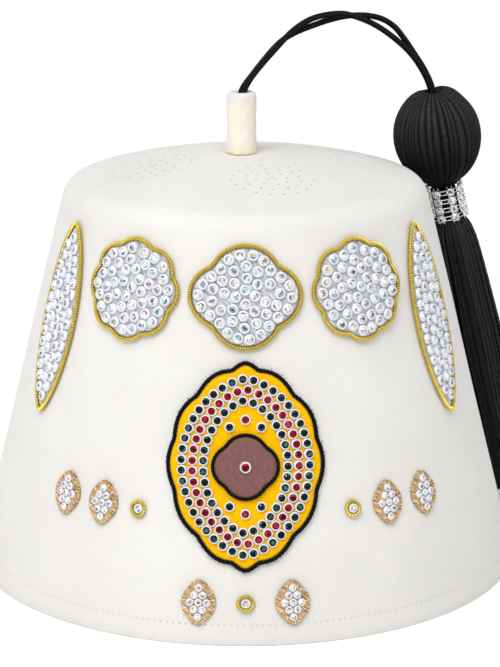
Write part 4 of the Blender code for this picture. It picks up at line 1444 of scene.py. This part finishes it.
# Loose fibres that stand out of the edge cord
def addHairs(tray, edge, height, width):
    for across, up in edge:
        turn = dice.uniform(0, 2 * math.pi)
        reach = width * dice.uniform(0.8, 1.15)
        share = np.linspace(0, 1, 4)
        flat = np.array((across, up)) + reach * share[:, None] * (math.cos(turn), math.sin(turn))
        lift = hat["layerGap"] + width * (0.6 - 0.2 * share**2)
        addRun(tray, *layOn(0.0, height, flat, lift), medallion["hair"], medallion["hair"], 3)


# The satin ground between the upper and the lower row, and its edge cord
def makeGround():
    lean = math.cos(sideLean)
    top = rowBottom - (hat["seatGap"] + patchwork["edgingWidth"] + medallion["margin"]) * lean
    bottom = medallion["lowerRowHeight"] + (patchShapes["floret"]["halfHeight"] + medallion["margin"]) * lean
    height = (top + bottom) / 2
    shape = dict(patchShapes["medallion"])
    shape["halfHeight"] = (top - bottom) / (2 * lean) - medallion["cordWidth"] - hat["seatGap"]
    ground = MeshTray()
    addBacking(ground, shape, 0.0, height, hat["layerGap"], medallion["groundPuff"])
    name = "medallion_ground"
    finishPiece(ground, "medallion_satin", ["yellowSatin"], "yellow_satin", name, welded=True)
    border = MeshTray()
    width = medallion["cordWidth"] * medallion["cordSlim"]
    relief, step, sides = twisted(*medallion["cord"]), medallion["cordStep"], medallion["cordSides"]
    addEdging(border, shape, 0.0, height, hat["layerGap"], width, width, relief, step, sides)
    addHairs(border, outlineOf(shape, medallion["hairStep"], hat["seatGap"] + width / 2), height, width)
    finishPiece(border, "medallion_cord", ["blackCord"], "black_edge_cord", "medallion_border")
    return shape, height


# Rows that follow the field's outline, then the spots inside them
def rowStones(field):
    stones = []
    for row, colour in enumerate(medallion["rows"]):
        loop = narrowed(field, (row + 0.5) * medallion["rowPitch"])
        for across, up in outlineOf(loop, medallion["pitch"]):
            gaps = [math.hypot(across - stone[0], up - stone[1]) for stone in stones]
            if min(gaps, default=1.0) > 0.9 * medallion["pitch"]:
                stones.append((across, up, colour))
    for across, up, colour in medallion["spots"]:
        for sideways in {across, -across}:
            stones += [(sideways, up, colour), (sideways, -up, colour)]
    return stones


def makeMedallion():
    shape, height = makeGround()
    valley = 1 - shape["depth"]
    field = dict(shape, halfWidth=shape["halfWidth"] * valley, halfHeight=shape["halfHeight"] * valley)
    field = narrowed(dict(field, scallops=0, depth=0.0), medallion["fieldMargin"])
    over = 2 * hat["layerGap"] + patchwork["thick"]
    cup, spread = medallion["cup"], medallion["spread"]
    rows = MeshTray()
    for across, up, colour in rowStones(field):
        spot = sidePlace(0.0, height, across, up, over - medallion["sink"])
        addStone(rows, spot, cup, 0, {"red": 1, "green": 2}[colour], spread, "wideCrystal")
    layers = ("whiteCup", "redStone", "greenStone")
    finishPiece(rows, "medallion_stone_rows", layers, "coloured_stones", "medallion_stones")
    width = medallion["centreCordWidth"]
    size = field["halfWidth"] - len(medallion["rows"]) * medallion["rowPitch"] - medallion["clearance"]
    size -= width + hat["seatGap"]
    depth = medallion["centreDepth"]
    middle = {"halfWidth": size, "halfHeight": size, "point": 1.0, "scallops": 4, "depth": depth}
    centre = MeshTray()
    addBacking(centre, middle, 0.0, height, over, medallion["centrePuff"])
    spot = sidePlace(0.0, height, 0.0, 0.0, over + patchwork["thick"] + 0.0002)
    addStone(centre, spot, cup * medallion["centreStone"], 1, 2, spread, "wideCrystal")
    layers = ("brownSatin", "whiteCup", "redStone")
    finishPiece(centre, "medallion_centre", layers, "brown_satin", "medallion_middle", welded=True)
    inner = MeshTray()
    relief, step, sides = twisted(*medallion["centreCord"]), medallion["centreStep"], medallion["centreSides"]
    addEdging(inner, middle, 0.0, height, over, width, width, relief, step, sides)
    finishPiece(inner, "centre_cord", ["blackCord"], "black_edge_cord", "middle_border")


makeMedallion()
print("medallion made")

smallWork = {
    "stone": 0.00130,
    "pitch": 0.00272,
    "rowPitch": 0.00236,
    "rows": (1, 2, 3, 2, 1),
    "floretAngles": (math.radians(33.0), math.radians(43.5)),
    "lowerAngle": math.radians(9.5),
    "buttonAngle": math.radians(24.0),
    "buttonRadius": 0.0030,
    "buttonRing": 0.00235,
    "buttonCup": 0.00172,
    "buttonShift": 0.00015,
    "ties": 11,
    "thread": 0.00028,
    "threadRise": 0.0003,
    "ringTurns": 26,
    "ringDepth": 0.25,
}


# A thread that ties a backing down over its edge
def addThread(tray, angle, height, start, stop, finish):
    share = np.linspace(0, 1, 7)
    top = hat["layerGap"] + patchwork["thick"]
    lifts = top + smallWork["threadRise"] * np.sin(math.pi * share) - top * share**5
    flat = start[None, :] * (1 - share[:, None]) + stop[None, :] * share[:, None]
    path, outward = layOn(angle, height, flat, lifts)
    addRun(tray, path, outward, smallWork["thread"], smallWork["thread"], 6, finish=finish)


def makeFloret(side, where, angle, height):
    tray = MeshTray()
    shape = patchShapes["floret"]
    rows, ties = smallWork["rows"], smallWork["ties"]
    addBacking(tray, shape, angle, height, hat["layerGap"])
    lift = hat["layerGap"] + patchwork["thick"] - patchwork["sink"]
    for row, count in enumerate(rows):
        up = (row - (len(rows) - 1) / 2) * smallWork["rowPitch"]
        for index in range(count):
            across = (index - (count - 1) / 2) * smallWork["pitch"]
            addStone(tray, sidePlace(angle, height, across, up, lift), smallWork["stone"], 1, 2)
    edge = outlineOf(shape, 0.0005)
    for tie in range(ties):
        corner = edge[int(len(edge) * (tie + dice.uniform(0.1, 0.6)) / ties)]
        addThread(tray, angle, height, 0.72 * corner, 1.05 * corner, 3)
    layers = ("tanBacking", "whiteCup", "clearStone", "whiteThread")
    name = f"floret_{side}_{where}"
    finishPiece(tray, f"floret_stones_{side}_{where}", layers, "gold_backing", name, welded=True)


def makeButton(side, angle, height):
    tray = MeshTray()
    width = 2 * (smallWork["buttonRadius"] - smallWork["buttonRing"])
    theta = turnsOf(150)
    uneven = 1 + 0.03 * np.sin(2 * theta + dice.uniform(0, 6)) + 0.02 * np.sin(3 * theta + dice.uniform(0, 6))
    flat = np.stack([np.cos(theta), np.sin(theta)], axis=1) * (smallWork["buttonRing"] * uneven)[:, None]
    path = onSide(angle, height, flat[:, 0], flat[:, 1], hat["layerGap"] + width / 2)
    outward = sideAxes(np.full(len(theta), angle))[2]
    relief = twisted(1, lengthsAlong(path)[-1] / smallWork["ringTurns"], smallWork["ringDepth"])
    addRun(tray, path, outward, width, width, 10, closed=True, relief=relief)
    shift = [dice.uniform(-1, 1) * smallWork["buttonShift"] for axis in range(2)]
    addStone(tray, sidePlace(angle, height, *shift, hat["layerGap"]), smallWork["buttonCup"], 1, 2)
    layers = ("goldPurl", "whiteCup", "clearStone")
    finishPiece(tray, f"stone_button_{side}", layers, "gold_purl", f"button_{side}")


def makeSmallWork():
    middleRow, lowerRow = medallion["middleRowHeight"], medallion["lowerRowHeight"]
    for side, sign in (("left", -1), ("right", 1)):
        for where, angle in zip(("inner", "outer"), smallWork["floretAngles"]):
            makeFloret(side, where, sign * angle, middleRow)
        makeFloret(side, "lower", sign * smallWork["lowerAngle"], lowerRow)
        makeButton(side, sign * smallWork["buttonAngle"], middleRow)
    makeButton("front", 0.0, lowerRow)


makeSmallWork()
print("florets and buttons made")

studio = {
    "floorSize": 12.0,
    "floorColour": (0.97, 0.97, 0.97),
    "skyStrength": 0.55,
    "sunFrom": (-0.13, -0.50, 0.86),
    "sunAngle": math.radians(50.0),
    "sunStrength": 1.85,
    "lampPlace": (-0.35, -0.75, 0.75),
    "lampSize": 0.06,
    "lampPower": 1.2,
}


def makeFloor():
    tray = MeshTray()
    half = studio["floorSize"] / 2
    tray.add([(-half, -half, 0), (half, -half, 0), (half, half, 0), (-half, half, 0)], [[0, 1, 2, 3]])
    colour = studio["floorColour"]
    material = newMaterial("floor paper", Roughness=0.9, Base_Color=colour)[0]
    tray.makeObject("floor", [material])


def makeLights():
    world = bpy.data.worlds.new("studio")
    bpy.context.scene.world = world
    world.use_nodes = True
    sky = world.node_tree.nodes["Background"]
    sky.inputs["Color"].default_value = (1.0, 1.0, 1.0, 1.0)
    sky.inputs["Strength"].default_value = studio["skyStrength"]
    sunLight = bpy.data.lights.new("soft sun", "SUN")
    sunLight.energy = studio["sunStrength"]
    sunLight.angle = studio["sunAngle"]
    lampLight = bpy.data.lights.new("small lamp", "AREA")
    lampLight.size = studio["lampSize"]
    lampLight.energy = studio["lampPower"]
    for light, place in ((sunLight, studio["sunFrom"]), (lampLight, studio["lampPlace"])):
        lamp = bpy.data.objects.new(light.name, light)
        lamp.location = place
        lamp.rotation_euler = (-Vector(place)).to_track_quat("-Z", "Y").to_euler()
        bpy.context.collection.objects.link(lamp)
    bpy.context.scene.view_settings.view_transform = "Standard"


makeFloor()
makeLights()
print("stage made")
